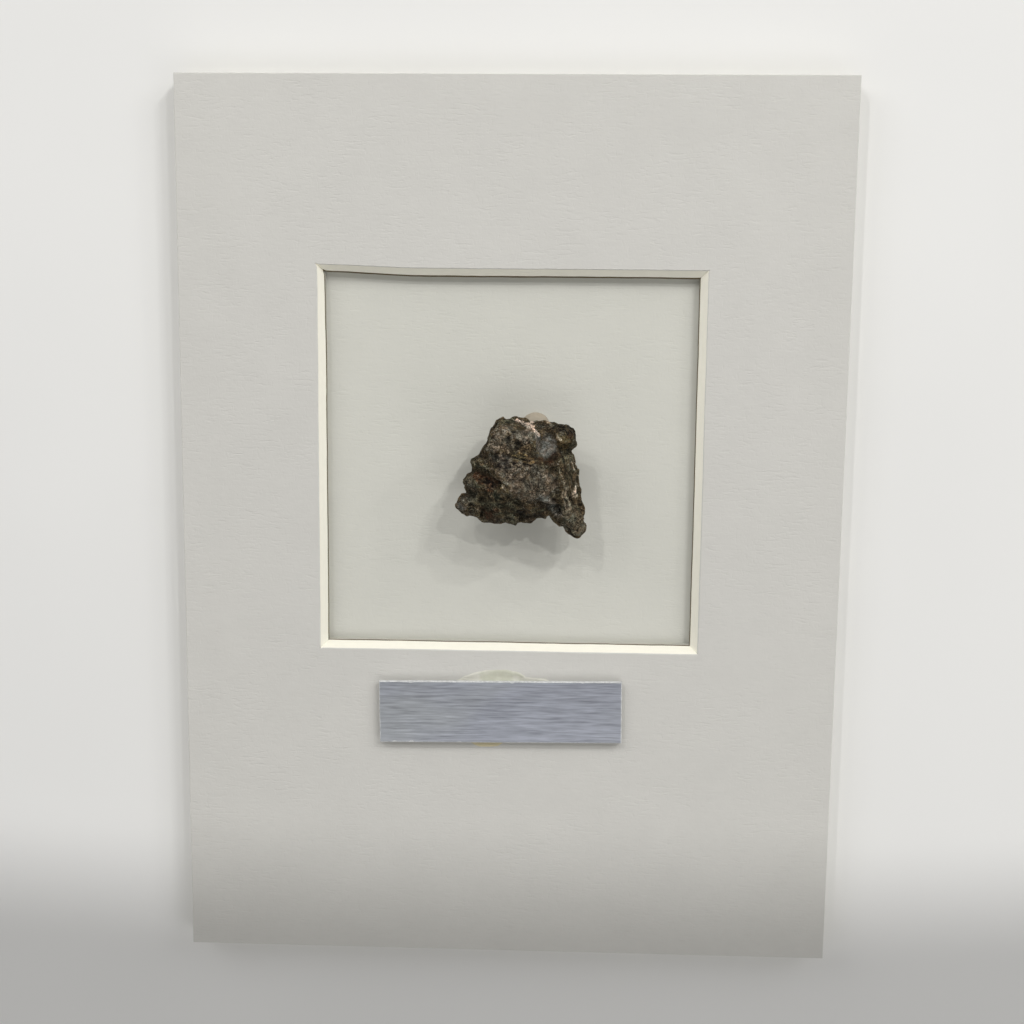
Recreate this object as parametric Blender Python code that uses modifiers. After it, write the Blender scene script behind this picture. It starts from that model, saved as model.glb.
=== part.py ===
"""Builds a lunar meteorite that is fixed in a small window mat, at its real size.

The display lies on its back: +X runs to the right, +Y up the mat and +Z out of
its face. The origin is the middle of the back. Lengths are in metres. The stone
and its adhesive are shaped in millimetres, in a frame of their own whose origin
lies on the backing under the stone, and are then brought to metres.
"""

import math
from typing import NamedTuple

import bmesh
import bpy
from mathutils import Matrix, Vector, noise
from mathutils.bvhtree import BVHTree

MM = 0.001

# Boards, from the back to the front
BOARD_WIDTH = 103.4 * MM
BOARD_HEIGHT = 139.0 * MM
BACKING_THICKNESS = 1.5 * MM
SPACER_THICKNESS = 0.6 * MM
MAT_THICKNESS = 1.3 * MM
BOARD_EDGE = 0.15 * MM
CONTACT_GAP = 0.3 * MM

# The mat's square opening, measured at its face; its bevel runs in at 45 degrees
WINDOW_SIDE = 60.0 * MM
WINDOW_CENTRE_Y = 10.7 * MM
SPACER_SETBACK = 0.4 * MM

# The label plate
LABEL_WIDTH = 38.6 * MM
LABEL_HEIGHT = 10.0 * MM
LABEL_THICKNESS = 0.5 * MM
LABEL_CENTRE = Vector((-1.2, -28.9)) * MM
LABEL_TURN = math.radians(0.8)
LABEL_EDGE = 0.1 * MM

# The film of dried glue that reaches past the label at its top and bottom
FILM_THICKNESS = 0.2 * MM
FILM_TOP_WIDTH = 13.0 * MM
FILM_TOP_SHIFT = -0.4 * MM
FILM_OVER_TOP = 1.9 * MM
FILM_BOTTOM_WIDTH = 6.4 * MM
FILM_BOTTOM_SHIFT = -1.9 * MM
FILM_UNDER_BOTTOM = 0.8 * MM
FILM_FULLNESS = 0.6
FILM_STEPS = 12
CAP_WELD = 0.01 * MM

# Where the stone's own frame lies, and how finely it is shaped (millimetres)
STONE_CENTRE = Vector((1.8, 9.2)) * MM
STONE_REST_HEIGHT = 1.2
STONE_VOXEL = 0.2
STONE_SOFTENING = 8
STONE_TRIANGLES = 7600
SOFTENING_SHARE = 0.5
DAB_VOXEL = 0.2
DAB_SOFTENING = 3
DAB_TRIANGLES = 900
CUT_SNAP = 0.03
LUMP_SUBDIVISIONS = 3

# Heights of the stack, worked out from the thicknesses
SPACER_BACK = BACKING_THICKNESS + CONTACT_GAP
MAT_BACK = SPACER_BACK + SPACER_THICKNESS + CONTACT_GAP
MAT_FACE = MAT_BACK + MAT_THICKNESS
FILM_BACK = MAT_FACE + CONTACT_GAP
LABEL_BACK = FILM_BACK + FILM_THICKNESS + CONTACT_GAP


class Finish(NamedTuple):
    """A plain finish."""

    colour: tuple
    roughness: float
    metallic: float = 0.0


class Lump(NamedTuple):
    """A round lump of the rock, in millimetres."""

    centre: tuple
    radius: float


class Blob(NamedTuple):
    """A flattened blob of adhesive, in millimetres."""

    centre: tuple
    radii: tuple


class Dent(NamedTuple):
    """A hollow that is pushed in along the surface's own direction, in millimetres."""

    centre: tuple
    radius: float
    depth: float


class Groove(NamedTuple):
    """A groove between two points of the surface, in millimetres."""

    start: tuple
    end: tuple
    radius: float
    depth: float


class Chipping(NamedTuple):
    """Broken facets of one size: each chip is a tilted flat, a step off its neighbours."""

    origin: tuple
    size: float
    slope: float
    step: float


FINISHES = {
    "backing_card": Finish((0.56, 0.56, 0.49), 0.9),
    "spacer_board": Finish((0.60, 0.59, 0.55), 0.9),
    "mat_board": Finish((0.62, 0.60, 0.56), 0.9),
    "brushed_plate": Finish((0.30, 0.31, 0.35), 0.35, 0.9),
    "dried_glue": Finish((0.50, 0.46, 0.34), 0.45),
    "adhesive": Finish((0.42, 0.37, 0.31), 0.6),
    "lunar_breccia": Finish((0.065, 0.055, 0.043), 0.75),
}

# The stone's blocks: corners in millimetres (right, up the mat, out from the backing)
BLOCKS = {
    "core": [
        (-2.5, 6.2, 11.6), (1.5, 6.6, 11.2), (3.8, 2.9, 12.2), (4.2, -1.7, 11.8),
        (1.0, -3.2, 12.0), (-2.4, -0.2, 13.0), (-3.4, 2.8, 12.4),
        (-3.6, 8.0, 7.4), (-0.4, 9.0, 7.2), (1.8, 9.0, 7.0), (4.4, 8.45, 7.2), (6.8, 7.4, 7.0),
        (7.95, 4.0, 6.4), (6.6, -3.4, 6.2), (4.9, -6.0, 6.4), (1.0, -6.8, 7.0),
        (-1.6, -7.6, 6.8), (-3.8, -7.7, 6.6), (-5.3, -7.6, 6.2), (-7.5, -6.1, 5.6),
        (-8.3, -0.8, 6.0), (-7.0, 2.4, 7.0), (-5.5, 4.8, 7.4),
        (-3.8, 5.0, 0.6), (2.6, 5.6, 0.6), (5.2, 2.0, 0.6), (3.6, -3.8, 0.6),
        (-2.8, -4.4, 0.6), (-5.6, -1.6, 0.6),
    ],
    "left_tip": [
        (-10.2, -4.75, 5.8), (-9.75, -5.45, 5.6), (-9.9, -4.5, 7.3), (-9.4, -4.6, 4.2),
        (-8.4, -6.15, 5.8), (-6.2, -6.4, 7.6), (-6.2, -5.2, 3.4), (-6.8, -1.6, 6.6),
        (-9.1, -3.0, 6.2), (-6.2, -3.0, 8.8),
    ],
    "left_ledge_low": [
        (-8.7, -0.7, 6.5), (-8.4, 0.6, 6.7), (-9.0, -2.2, 6.2), (-7.9, -0.7, 8.6),
        (-5.4, 0.2, 10.6), (-5.6, -2.6, 9.6), (-5.8, 0.9, 4.4), (-5.8, -2.8, 4.4),
    ],
    "left_ledge_high": [
        (-7.5, 2.2, 7.0), (-7.2, 2.9, 7.2), (-7.5, 1.0, 7.0), (-6.9, 2.3, 9.2),
        (-4.6, 3.5, 11.0), (-4.6, 0.8, 11.2), (-5.3, 3.7, 5.6), (-5.3, 0.6, 5.6),
    ],
    "upper_left": [
        (-5.4, 4.6, 8.0), (-5.5, 5.9, 7.8), (-4.7, 7.2, 7.4), (-4.0, 8.7, 7.0), (-2.9, 9.3, 6.8),
        (-0.8, 9.0, 7.0), (0.2, 8.8, 7.4), (-2.5, 7.3, 11.4), (-4.1, 5.4, 11.4), (-1.0, 7.0, 11.4),
        (-3.8, 4.6, 4.8), (-1.0, 6.6, 4.8),
    ],
    "right_shoulder": [
        (4.4, 8.2, 7.0), (7.0, 8.1, 7.0), (8.2, 7.0, 6.8), (8.6, 5.5, 6.6), (8.2, 4.3, 6.2),
        (6.7, 7.2, 10.2), (7.6, 5.7, 9.4), (4.9, 7.0, 10.6), (5.3, 4.4, 9.8),
        (4.8, 5.4, 3.8), (6.6, 4.8, 4.0),
    ],
    "column": [
        (5.0, 3.4, 10.8), (6.9, 3.2, 9.6), (8.1, 3.8, 6.8), (8.75, 1.6, 6.6), (9.3, -1.3, 6.3),
        (4.8, -2.8, 10.8), (7.3, -1.4, 9.8), (7.8, -3.6, 9.0), (9.6, -3.7, 6.1),
        (4.8, 2.6, 3.4), (7.2, 0.0, 3.4), (5.6, -4.8, 3.8),
    ],
    "tail": [
        (5.0, -2.6, 10.2), (7.5, -3.0, 9.4), (9.3, -3.4, 6.4), (9.8, -6.8, 5.6), (10.15, -8.7, 5.4),
        (9.2, -9.7, 5.2), (8.0, -9.5, 5.2), (7.1, -8.5, 5.4), (6.1, -7.0, 6.0), (4.6, -6.4, 7.0),
        (8.3, -8.2, 7.4), (9.4, -8.0, 6.8), (6.2, -3.8, 3.6), (8.2, -8.0, 3.6), (9.0, -8.6, 3.8),
        (8.8, -4.6, 3.8),
    ],
}

LUMPS = {
    "bottom_left": Lump((-1.25, -6.5, 7.2), 1.2),
    "bottom_middle": Lump((1.2, -5.8, 7.4), 1.0),
    "bottom_right": Lump((3.5, -5.5, 7.4), 0.9),
    "top_knob": Lump((-0.7, 8.3, 7.4), 0.9),
    "top_right_knob": Lump((3.1, 8.0, 7.0), 0.9),
    "shoulder_knob": Lump((6.9, 6.5, 7.8), 1.2),
    "upper_bulge": Lump((-2.9, 5.8, 10.4), 2.0),
    "ledge_lump": Lump((-6.7, 2.2, 7.6), 0.95),
    "low_lump": Lump((-7.8, -0.8, 7.4), 1.1),
    "under_middle": Lump((2.0, 1.0, 2.6), 2.4),
    "under_left": Lump((-4.5, -1.6, 3.4), 1.9),
    "under_bottom": Lump((0.6, -4.3, 3.6), 1.8),
    "under_right": Lump((5.2, -0.8, 3.4), 1.7),
    "under_top": Lump((-1.6, 5.6, 3.8), 1.8),
}

DENTS = {
    "hollow": Dent((4.0, 4.8, 10.6), 2.5, 1.5),
    "hollow_low": Dent((4.9, 3.3, 10.6), 1.5, 0.8),
    "deep_pit": Dent((-3.7, -0.9, 12.0), 0.9, 1.1),
    "dark_spot_left": Dent((-1.9, 5.9, 11.8), 0.8, 0.6),
    "dark_spot_right": Dent((-0.4, 5.1, 12.0), 1.0, 0.6),
    "saddle": Dent((1.6, 9.0, 7.2), 1.2, 0.3),
    "bottom_notch": Dent((2.4, -6.9, 7.4), 0.8, 1.1),
    "bottom_cavity": Dent((0.1, -6.3, 8.2), 0.7, 0.9),
    "left_bay": Dent((-5.6, 3.2, 9.4), 1.1, 0.8),
}

GROOVES = {
    "diagonal": Groove((-6.6, 1.4, 10.4), (-3.6, -1.1, 12.2), 1.0, 1.0),
    "bulge_foot": Groove((-5.0, 3.0, 10.6), (-1.8, 3.6, 12.2), 0.9, 0.5),
    "right_crease": Groove((6.6, 4.8, 9.6), (4.4, 2.7, 11.6), 0.8, 0.7),
    "column_crease": Groove((5.1, 1.8, 11.4), (5.7, -2.4, 10.4), 0.7, 0.5),
    "column_groove_in": Groove((6.4, 3.4, 9.8), (7.3, -4.6, 8.8), 0.5, 0.4),
    "column_groove_middle": Groove((7.3, 3.0, 8.8), (8.3, -6.4, 7.4), 0.45, 0.35),
    "column_groove_out": Groove((8.1, 2.6, 7.6), (9.0, -4.4, 7.0), 0.4, 0.3),
    "tail_root": Groove((2.9, -3.7, 10.2), (5.6, -5.2, 8.6), 1.1, 0.8),
    "under_seam": Groove((-5.0, 3.0, 4.0), (-1.5, -6.0, 4.2), 0.8, 0.5),
    "under_bay": Groove((6.6, 1.0, 3.6), (2.4, 6.4, 3.4), 1.0, 0.6),
}

# A dent or groove reaches deeper along the view than it is wide
VIEW_REACH = 0.4

# Grooves run deeper and shallower along their length
GROOVE_UNEVENNESS = 0.9
GROOVE_PATCH = 0.8

# The rock's own relief: a slow swell, chips of three sizes and a fine roughness
SWELL_LENGTH = 3.6
SWELL_DEPTH = 0.30
CHIPPINGS = (
    Chipping((1.7, 0.4, 2.9), 3.0, 0.55, 0.22),
    Chipping((5.1, 8.2, 0.7), 1.4, 0.30, 0.12),
    Chipping((2.3, 6.6, 4.1), 0.7, 0.14, 0.05),
)
CHIP_RIM = 0.12
CHIP_TILT_KEY = 7.31
CHIP_LEVEL_KEY = 5.17
ROUGH_LENGTH = 1.1
ROUGH_DEPTH = 0.12
ROUGH_OCTAVES = 3
ROUGH_FALL = 1.0
ROUGH_STEP = 2.0

# Blobs of the adhesive, which the stone presses down and squeezes out past its top edge
DAB_BLOBS = {
    "pad": Blob((0.0, 0.4, 0.3), (5.0, 4.6, 1.4)),
    "middle": Blob((1.8, 4.8, 0.3), (3.4, 3.2, 1.3)),
    "squeezed_out": Blob((2.0, 7.5, 0.3), (2.2, 2.0, 1.3)),
}

# The adhesive is lowered step by step until it is this far from the stone
PRESS_CLEARANCE = 0.38
PRESS_STEP = 0.03


def clear_scene():
    """Removes what the file opened with."""
    for item in list(bpy.data.objects):
        bpy.data.objects.remove(item, do_unlink=True)


def new_collection(name):
    """Adds a collection to the scene."""
    collection = bpy.data.collections.new(name)
    bpy.context.scene.collection.children.link(collection)
    return collection


def make_material(name, finish):
    """Makes a plain Principled material."""
    material = bpy.data.materials.new(name)
    material.use_nodes = True
    shader = material.node_tree.nodes["Principled BSDF"]
    shader.inputs["Base Color"].default_value = (*finish.colour, 1.0)
    shader.inputs["Roughness"].default_value = finish.roughness
    shader.inputs["Metallic"].default_value = finish.metallic
    return material


def object_from_bmesh(name, shape, collection, material=None):
    """Turns a bmesh into an object with its faces pointing out."""
    bmesh.ops.recalc_face_normals(shape, faces=shape.faces)
    mesh = bpy.data.meshes.new(name)
    shape.to_mesh(mesh)
    shape.free()
    item = bpy.data.objects.new(name, mesh)
    if material:
        mesh.materials.append(material)
    collection.objects.link(item)
    return item


def bake_modifiers(item):
    """Gives an object the mesh that its modifiers make, and takes them off."""
    bpy.context.view_layer.update()
    graph = bpy.context.evaluated_depsgraph_get()
    made = bpy.data.meshes.new_from_object(item.evaluated_get(graph))
    old = item.data
    item.modifiers.clear()
    item.data = made
    bpy.data.meshes.remove(old)


def board(name, collection, material, size, centre, edge=BOARD_EDGE):
    """Makes a flat board with its edges eased."""
    shape = bmesh.new()
    bmesh.ops.create_cube(shape, size=1.0)
    bmesh.ops.scale(shape, vec=size, verts=shape.verts)
    item = object_from_bmesh(name, shape, collection, material)
    item.location = centre
    bevel = item.modifiers.new("edges", "BEVEL")
    bevel.width = edge
    bevel.segments = 2
    return item


def build_backing(collection, material):
    """Makes the card that the stone is glued to."""
    size = (BOARD_WIDTH, BOARD_HEIGHT, BACKING_THICKNESS)
    board("backing_board", collection, material, size, (0.0, 0.0, BACKING_THICKNESS / 2))


def build_spacers(collection, material):
    """Makes the four hidden strips that hold the mat off the backing."""
    half_open = WINDOW_SIDE / 2 - MAT_THICKNESS + SPACER_SETBACK
    left, right = -BOARD_WIDTH / 2, BOARD_WIDTH / 2
    bottom, top = -BOARD_HEIGHT / 2, BOARD_HEIGHT / 2
    low, high = WINDOW_CENTRE_Y - half_open, WINDOW_CENTRE_Y + half_open
    spans = {
        "spacer_top": (left, right, high, top),
        "spacer_bottom": (left, right, bottom, low),
        "spacer_left": (left, -half_open, low + CONTACT_GAP, high - CONTACT_GAP),
        "spacer_right": (half_open, right, low + CONTACT_GAP, high - CONTACT_GAP),
    }
    height = SPACER_BACK + SPACER_THICKNESS / 2
    for name, (west, east, south, north) in spans.items():
        size = (east - west, north - south, SPACER_THICKNESS)
        centre = ((west + east) / 2, (south + north) / 2, height)
        board(name, collection, material, size, centre)


def build_mat(collection, cutters, material):
    """Makes the mat and cuts its opening, whose sides slope in towards the back."""
    middle = MAT_BACK + MAT_THICKNESS / 2
    size = (BOARD_WIDTH, BOARD_HEIGHT, MAT_THICKNESS)
    mat = board("window_mat", collection, material, size, (0.0, 0.0, middle))

    # The cutter runs one thickness past both faces, on the same 45 degree slope
    reach = MAT_THICKNESS
    front_side = WINDOW_SIDE + 2 * reach
    back_side = WINDOW_SIDE - 2 * (MAT_THICKNESS + reach)
    shape = bmesh.new()
    bmesh.ops.create_cone(
        shape,
        cap_ends=True,
        segments=4,
        radius1=back_side / math.sqrt(2),
        radius2=front_side / math.sqrt(2),
        depth=MAT_THICKNESS + 2 * reach,
        matrix=Matrix.Rotation(math.radians(45), 4, "Z"),
    )
    cutter = object_from_bmesh("window_cutter", shape, cutters)
    cutter.location = (0.0, WINDOW_CENTRE_Y, middle)
    cutter.hide_render = True
    cutter.display_type = "WIRE"
    cut = mat.modifiers.new("window", "BOOLEAN")
    cut.operation = "DIFFERENCE"
    cut.object = cutter


def lobe(width, shift, height, start):
    """Gives half of a rounded outline, from one side round to the other."""
    points = []
    for step in range(FILM_STEPS + 1):
        angle = math.pi * step / FILM_STEPS
        across = math.cos(start + angle) * width / 2 + shift
        points.append((across, height * math.sin(angle) ** FILM_FULLNESS))
    return points


def build_label(collection, plate_material, film_material):
    """Makes the label plate and the film of glue that reaches past it."""
    size = (LABEL_WIDTH, LABEL_HEIGHT, LABEL_THICKNESS)
    centre = (LABEL_CENTRE.x, LABEL_CENTRE.y, LABEL_BACK + LABEL_THICKNESS / 2)
    plate = board("label_plate", collection, plate_material, size, centre, LABEL_EDGE)
    plate.rotation_euler.z = LABEL_TURN

    top = lobe(FILM_TOP_WIDTH, FILM_TOP_SHIFT, LABEL_HEIGHT / 2 + FILM_OVER_TOP, 0.0)
    bottom = lobe(
        FILM_BOTTOM_WIDTH, FILM_BOTTOM_SHIFT, -LABEL_HEIGHT / 2 - FILM_UNDER_BOTTOM, math.pi
    )[1:-1]
    outline = bpy.data.curves.new("label_adhesive", "CURVE")
    outline.dimensions = "2D"
    outline.fill_mode = "BOTH"
    outline.extrude = FILM_THICKNESS / 2
    outline.materials.append(film_material)
    spline = outline.splines.new("POLY")
    spline.points.add(len(top + bottom) - 1)
    for point, (across, up) in zip(spline.points, top + bottom):
        point.co = (across, up, 0.0, 1.0)
    spline.use_cyclic_u = True
    film = bpy.data.objects.new("label_adhesive", outline)
    film.location = (LABEL_CENTRE.x, LABEL_CENTRE.y, FILM_BACK + FILM_THICKNESS / 2)
    collection.objects.link(film)
    weld = film.modifiers.new("caps", "WELD")
    weld.merge_threshold = CAP_WELD


def add_hull(shape, corners):
    """Adds the convex block round some corners."""
    verts = [shape.verts.new(corner) for corner in corners]
    result = bmesh.ops.convex_hull(shape, input=verts)
    inner = [part for part in result["geom_interior"] if isinstance(part, bmesh.types.BMVert)]
    bmesh.ops.delete(shape, geom=inner, context="VERTS")


def ease(distance, radius):
    """Falls smoothly from one at the middle to nought at the radius."""
    share = max(0.0, 1.0 - distance / radius)
    return share * share * (3.0 - 2.0 * share)


def seen_from_front(place):
    """Shortens a place along the view, so that dents reach deeper than they are wide."""
    return Vector((place[0], place[1], place[2] * VIEW_REACH))


def distance_to_line(point, start, end):
    """Gives the distance from a point to the line between two others."""
    along = end - start
    share = max(0.0, min(1.0, (point - start).dot(along) / along.length_squared))
    return (point - start - along * share).length


def chip_height(point, chipping):
    """Gives how far one size of chip lifts a point of the surface."""
    place = (point + Vector(chipping.origin)) / chipping.size
    distances, seeds = noise.voronoi(place)
    tilt = noise.cell_vector(seeds[0] * CHIP_TILT_KEY)
    level = noise.cell(seeds[0] * CHIP_LEVEL_KEY)
    rim = min(1.0, (distances[1] - distances[0]) / CHIP_RIM)
    return ((place - seeds[0]).dot(tilt) * chipping.slope + level * chipping.step) * rim


def weathering(point):
    """Gives how far the rock's own relief lifts a point of the surface."""
    lift = SWELL_DEPTH * noise.noise(point / SWELL_LENGTH)
    for chipping in CHIPPINGS:
        lift += chip_height(point, chipping)
    roughness = noise.fractal(point / ROUGH_LENGTH, ROUGH_FALL, ROUGH_STEP, ROUGH_OCTAVES)
    return lift + ROUGH_DEPTH * roughness


def carved(point, normal):
    """Gives a surface point's place after its dents, grooves and weathering."""
    lift = weathering(point)
    seen = seen_from_front(point)
    for dent in DENTS.values():
        distance = (seen - seen_from_front(dent.centre)).length
        lift -= dent.depth * ease(distance, dent.radius)
    unevenness = 1.0 + GROOVE_UNEVENNESS * noise.noise(point / GROOVE_PATCH)
    for groove in GROOVES.values():
        line = seen_from_front(groove.start), seen_from_front(groove.end)
        lift -= groove.depth * unevenness * ease(distance_to_line(seen, *line), groove.radius)
    return point + normal * lift


def fuse(item, voxel, softening):
    """Fuses an object's overlapping bodies into one skin, and softens it."""
    skin = item.modifiers.new("fuse", "REMESH")
    skin.mode = "VOXEL"
    skin.voxel_size = voxel
    soften = item.modifiers.new("soften", "SMOOTH")
    soften.factor = SOFTENING_SHARE
    soften.iterations = softening
    bake_modifiers(item)


def thin_out(item, triangles):
    """Brings an object down to a number of triangles, which leaves it faceted."""
    thin = item.modifiers.new("facets", "DECIMATE")
    thin.ratio = triangles / (2 * len(item.data.polygons))
    thin.use_collapse_triangulate = True
    bake_modifiers(item)


def cut_flat(item, height):
    """Cuts an object's foot off level, and closes the cut with a flat face."""
    shape = bmesh.new()
    shape.from_mesh(item.data)
    for vert in shape.verts:
        if abs(vert.co.z - height) < CUT_SNAP:
            vert.co.z = height
    cut = bmesh.ops.bisect_plane(
        shape,
        geom=shape.verts[:] + shape.edges[:] + shape.faces[:],
        dist=CUT_SNAP * MM,
        plane_co=(0.0, 0.0, height),
        plane_no=(0.0, 0.0, -1.0),
        clear_outer=True,
    )
    rim = [part for part in cut["geom_cut"] if isinstance(part, bmesh.types.BMEdge)]
    bmesh.ops.edgeloop_fill(shape, edges=rim)
    bmesh.ops.recalc_face_normals(shape, faces=shape.faces)
    shape.to_mesh(item.data)
    shape.free()


def place_on_backing(item):
    """Brings an object from the stone's millimetre frame to its place, in metres."""
    origin = Vector((STONE_CENTRE.x, STONE_CENTRE.y, BACKING_THICKNESS))
    item.data.transform(Matrix.Translation(origin) @ Matrix.Scale(MM, 4))
    item.data.shade_smooth()


def build_stone(collection, material):
    """Makes the stone: blocks and lumps fused, weathered, and cut flat where it is glued."""
    shape = bmesh.new()
    for corners in BLOCKS.values():
        add_hull(shape, corners)
    for lump in LUMPS.values():
        place = Matrix.Translation(lump.centre)
        bmesh.ops.create_icosphere(
            shape, subdivisions=LUMP_SUBDIVISIONS, radius=lump.radius, matrix=place
        )
    stone = object_from_bmesh("meteorite", shape, collection, material)
    fuse(stone, STONE_VOXEL, STONE_SOFTENING)

    shape = bmesh.new()
    shape.from_mesh(stone.data)
    places = [carved(vert.co, vert.normal) for vert in shape.verts]
    for vert, place in zip(shape.verts, places):
        vert.co = place
    shape.to_mesh(stone.data)
    shape.free()

    fuse(stone, STONE_VOXEL, 1)
    thin_out(stone, STONE_TRIANGLES)
    cut_flat(stone, STONE_REST_HEIGHT)
    surface = surface_tree(stone)
    place_on_backing(stone)
    return surface


def surface_tree(item):
    """Gives a search tree of an object's surface."""
    shape = bmesh.new()
    shape.from_mesh(item.data)
    tree = BVHTree.FromBMesh(shape)
    shape.free()
    return tree


def press_down(item, surface):
    """Presses an object down wherever it would come too close to the stone above it."""
    up = Vector((0.0, 0.0, 1.0))
    for vert in item.data.vertices:
        above = surface.ray_cast(Vector((vert.co.x, vert.co.y, 0.0)), up)[0]
        if above:
            vert.co.z = min(vert.co.z, above.z)
        while vert.co.z > 0.0 and surface.find_nearest(vert.co)[3] < PRESS_CLEARANCE:
            vert.co.z -= PRESS_STEP


def build_dab(collection, material, stone_surface):
    """Makes the dab of adhesive, pressed down by the stone and squeezed out at its top edge."""
    shape = bmesh.new()
    for blob in DAB_BLOBS.values():
        ball = bmesh.ops.create_icosphere(shape, subdivisions=LUMP_SUBDIVISIONS, radius=1.0)
        bmesh.ops.scale(shape, vec=blob.radii, verts=ball["verts"])
        bmesh.ops.translate(shape, vec=blob.centre, verts=ball["verts"])
    dab = object_from_bmesh("adhesive_dab", shape, collection, material)
    fuse(dab, DAB_VOXEL, DAB_SOFTENING)
    press_down(dab, stone_surface)
    thin_out(dab, DAB_TRIANGLES)
    cut_flat(dab, CONTACT_GAP / MM)
    place_on_backing(dab)


def main():
    """Builds every piece of the display."""
    clear_scene()
    parts = new_collection("lunar_meteorite_display")
    cutters = new_collection("cutters")
    material = {name: make_material(name, finish) for name, finish in FINISHES.items()}
    build_backing(parts, material["backing_card"])
    build_spacers(parts, material["spacer_board"])
    build_mat(parts, cutters, material["mat_board"])
    build_label(parts, material["brushed_plate"], material["dried_glue"])
    stone_surface = build_stone(parts, material["lunar_breccia"])
    build_dab(parts, material["adhesive"], stone_surface)



main()
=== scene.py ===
"""Dresses the lunar meteorite display: the stone, its window mat, its card and its bare label.

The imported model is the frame, and its objects are in metres. The stone, the boards,
the label and the glue are sized here in millimetres, and the lamps, the floor and the
camera in metres. +X runs to the right, +Y up the mat and +Z out of its face.
"""

import itertools
import logging
import math
from dataclasses import dataclass, field
from enum import Enum, IntEnum
from typing import ClassVar, Sequence

import bmesh
import bpy
import numpy as np
from mathutils import Matrix, Vector
from mathutils.bvhtree import BVHTree


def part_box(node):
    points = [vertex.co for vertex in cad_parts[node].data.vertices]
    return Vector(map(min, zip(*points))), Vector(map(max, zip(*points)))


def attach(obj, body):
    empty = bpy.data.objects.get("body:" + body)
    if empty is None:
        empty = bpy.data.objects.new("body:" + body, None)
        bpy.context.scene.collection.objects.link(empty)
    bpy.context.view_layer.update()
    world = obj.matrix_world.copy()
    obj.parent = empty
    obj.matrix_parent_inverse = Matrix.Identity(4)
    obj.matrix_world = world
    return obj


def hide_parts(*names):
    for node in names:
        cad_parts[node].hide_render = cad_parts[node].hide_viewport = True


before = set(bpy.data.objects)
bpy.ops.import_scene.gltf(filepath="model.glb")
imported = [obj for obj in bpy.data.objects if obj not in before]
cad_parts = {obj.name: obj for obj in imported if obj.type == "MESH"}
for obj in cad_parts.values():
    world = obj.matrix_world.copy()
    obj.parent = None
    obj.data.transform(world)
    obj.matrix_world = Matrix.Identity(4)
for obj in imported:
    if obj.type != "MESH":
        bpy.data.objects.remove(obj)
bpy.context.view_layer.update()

LOG = logging.getLogger("meteorite_display")

MM = 0.001
BODY = "root"

# How much of a white face's light a face that lies flat sends to the camera
FLAT_LIGHT = 0.87

# Two lengths in millimetres this near count as the same
SAME = 1e-6

# Steady numbers that stir the lattice noise, and how far each finer layer is shifted
LAYER_SHIFT = 17.3
STIR_X = 73856093
STIR_Y = 19349663
STIR_Z = 83492791
STIR_SEED = 2654435761
STIR_MIX = 1274126177
WORD = 0xFFFFFFFF


class Seed(IntEnum):
    """Picks the steady pattern that each uneven thing follows."""

    GRAINS = 3
    WINDOW_WAVE = 5
    WINDOW_RIPPLE = 6
    KNIFE = 8
    RUGGED = 11
    STRIP_EDGE = 15
    LUMP_BEND = 21
    LABEL_EDGE = 25
    LUMPS = 31
    GLUE_EDGE = 35
    ZONE_BEND = 40
    GLUE_BODY = 45
    ZONE_RIPPLE = 50
    RIB_PATH = 61
    RIB_WAVES = 63
    LEDGES = 71
    DAB = 91
    CRAGS = 101
    FINE_CRAGS = 103
    CRUMBLE = 105


@dataclass(frozen=True)
class Tint:
    """A colour as it shows in the studio, in display levels from 0 to 255."""

    red: float
    green: float
    blue: float

    def albedo(self, light: float = FLAT_LIGHT) -> tuple[float, float, float, float]:
        """Turns the shown colour into a surface colour.

        Args:
            light: how much light falls on the surface, where 1 shows it unchanged.

        Returns:
            The linear colour with full cover.
        """
        linear = []
        for level in (self.red, self.green, self.blue):
            part = level / 255.0
            value = part / 12.92 if part <= 0.04045 else ((part + 0.055) / 1.055) ** 2.4
            linear.append(min(value / light, 0.97))
        return (linear[0], linear[1], linear[2], 1.0)


def scatter(cells: np.ndarray, seed: int) -> np.ndarray:
    """Gives each lattice cell a steady number from 0 to 1.

    Args:
        cells: whole cell places, one row a point.
        seed: picks one set of numbers.

    Returns:
        One number a point.
    """
    x, y, z = (cells[:, axis].astype(np.int64) for axis in range(3))
    mixed = (x * STIR_X) ^ (y * STIR_Y) ^ (z * STIR_Z) ^ (seed * STIR_SEED)
    mixed &= WORD
    mixed = ((mixed ^ (mixed >> 13)) * STIR_MIX) & WORD
    mixed = ((mixed ^ (mixed >> 15)) * STIR_MIX) & WORD
    return ((mixed ^ (mixed >> 16)) & WORD) / float(WORD)


def drift(points: np.ndarray, size: float, seed: int, octaves: int = 1) -> np.ndarray:
    """Gives a smooth wandering value over the points.

    Args:
        points: places, one row a point.
        size: the width of the largest swells, in the points' unit.
        seed: picks one pattern.
        octaves: how many finer layers are added, each half as strong.

    Returns:
        Values from about -1 to 1.
    """
    total = np.zeros(len(points))
    strength = 1.0
    for layer in range(octaves):
        grid = points / (size / 2**layer) + LAYER_SHIFT * layer
        base = np.floor(grid)
        part = grid - base
        part = part * part * (3.0 - 2.0 * part)
        for corner in itertools.product((0, 1), repeat=3):
            share = np.prod(np.where(np.array(corner) == 1, part, 1.0 - part), axis=1)
            total += strength * share * (2.0 * scatter(base + np.array(corner), seed + layer) - 1.0)
        strength *= 0.5
    return total


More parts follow.
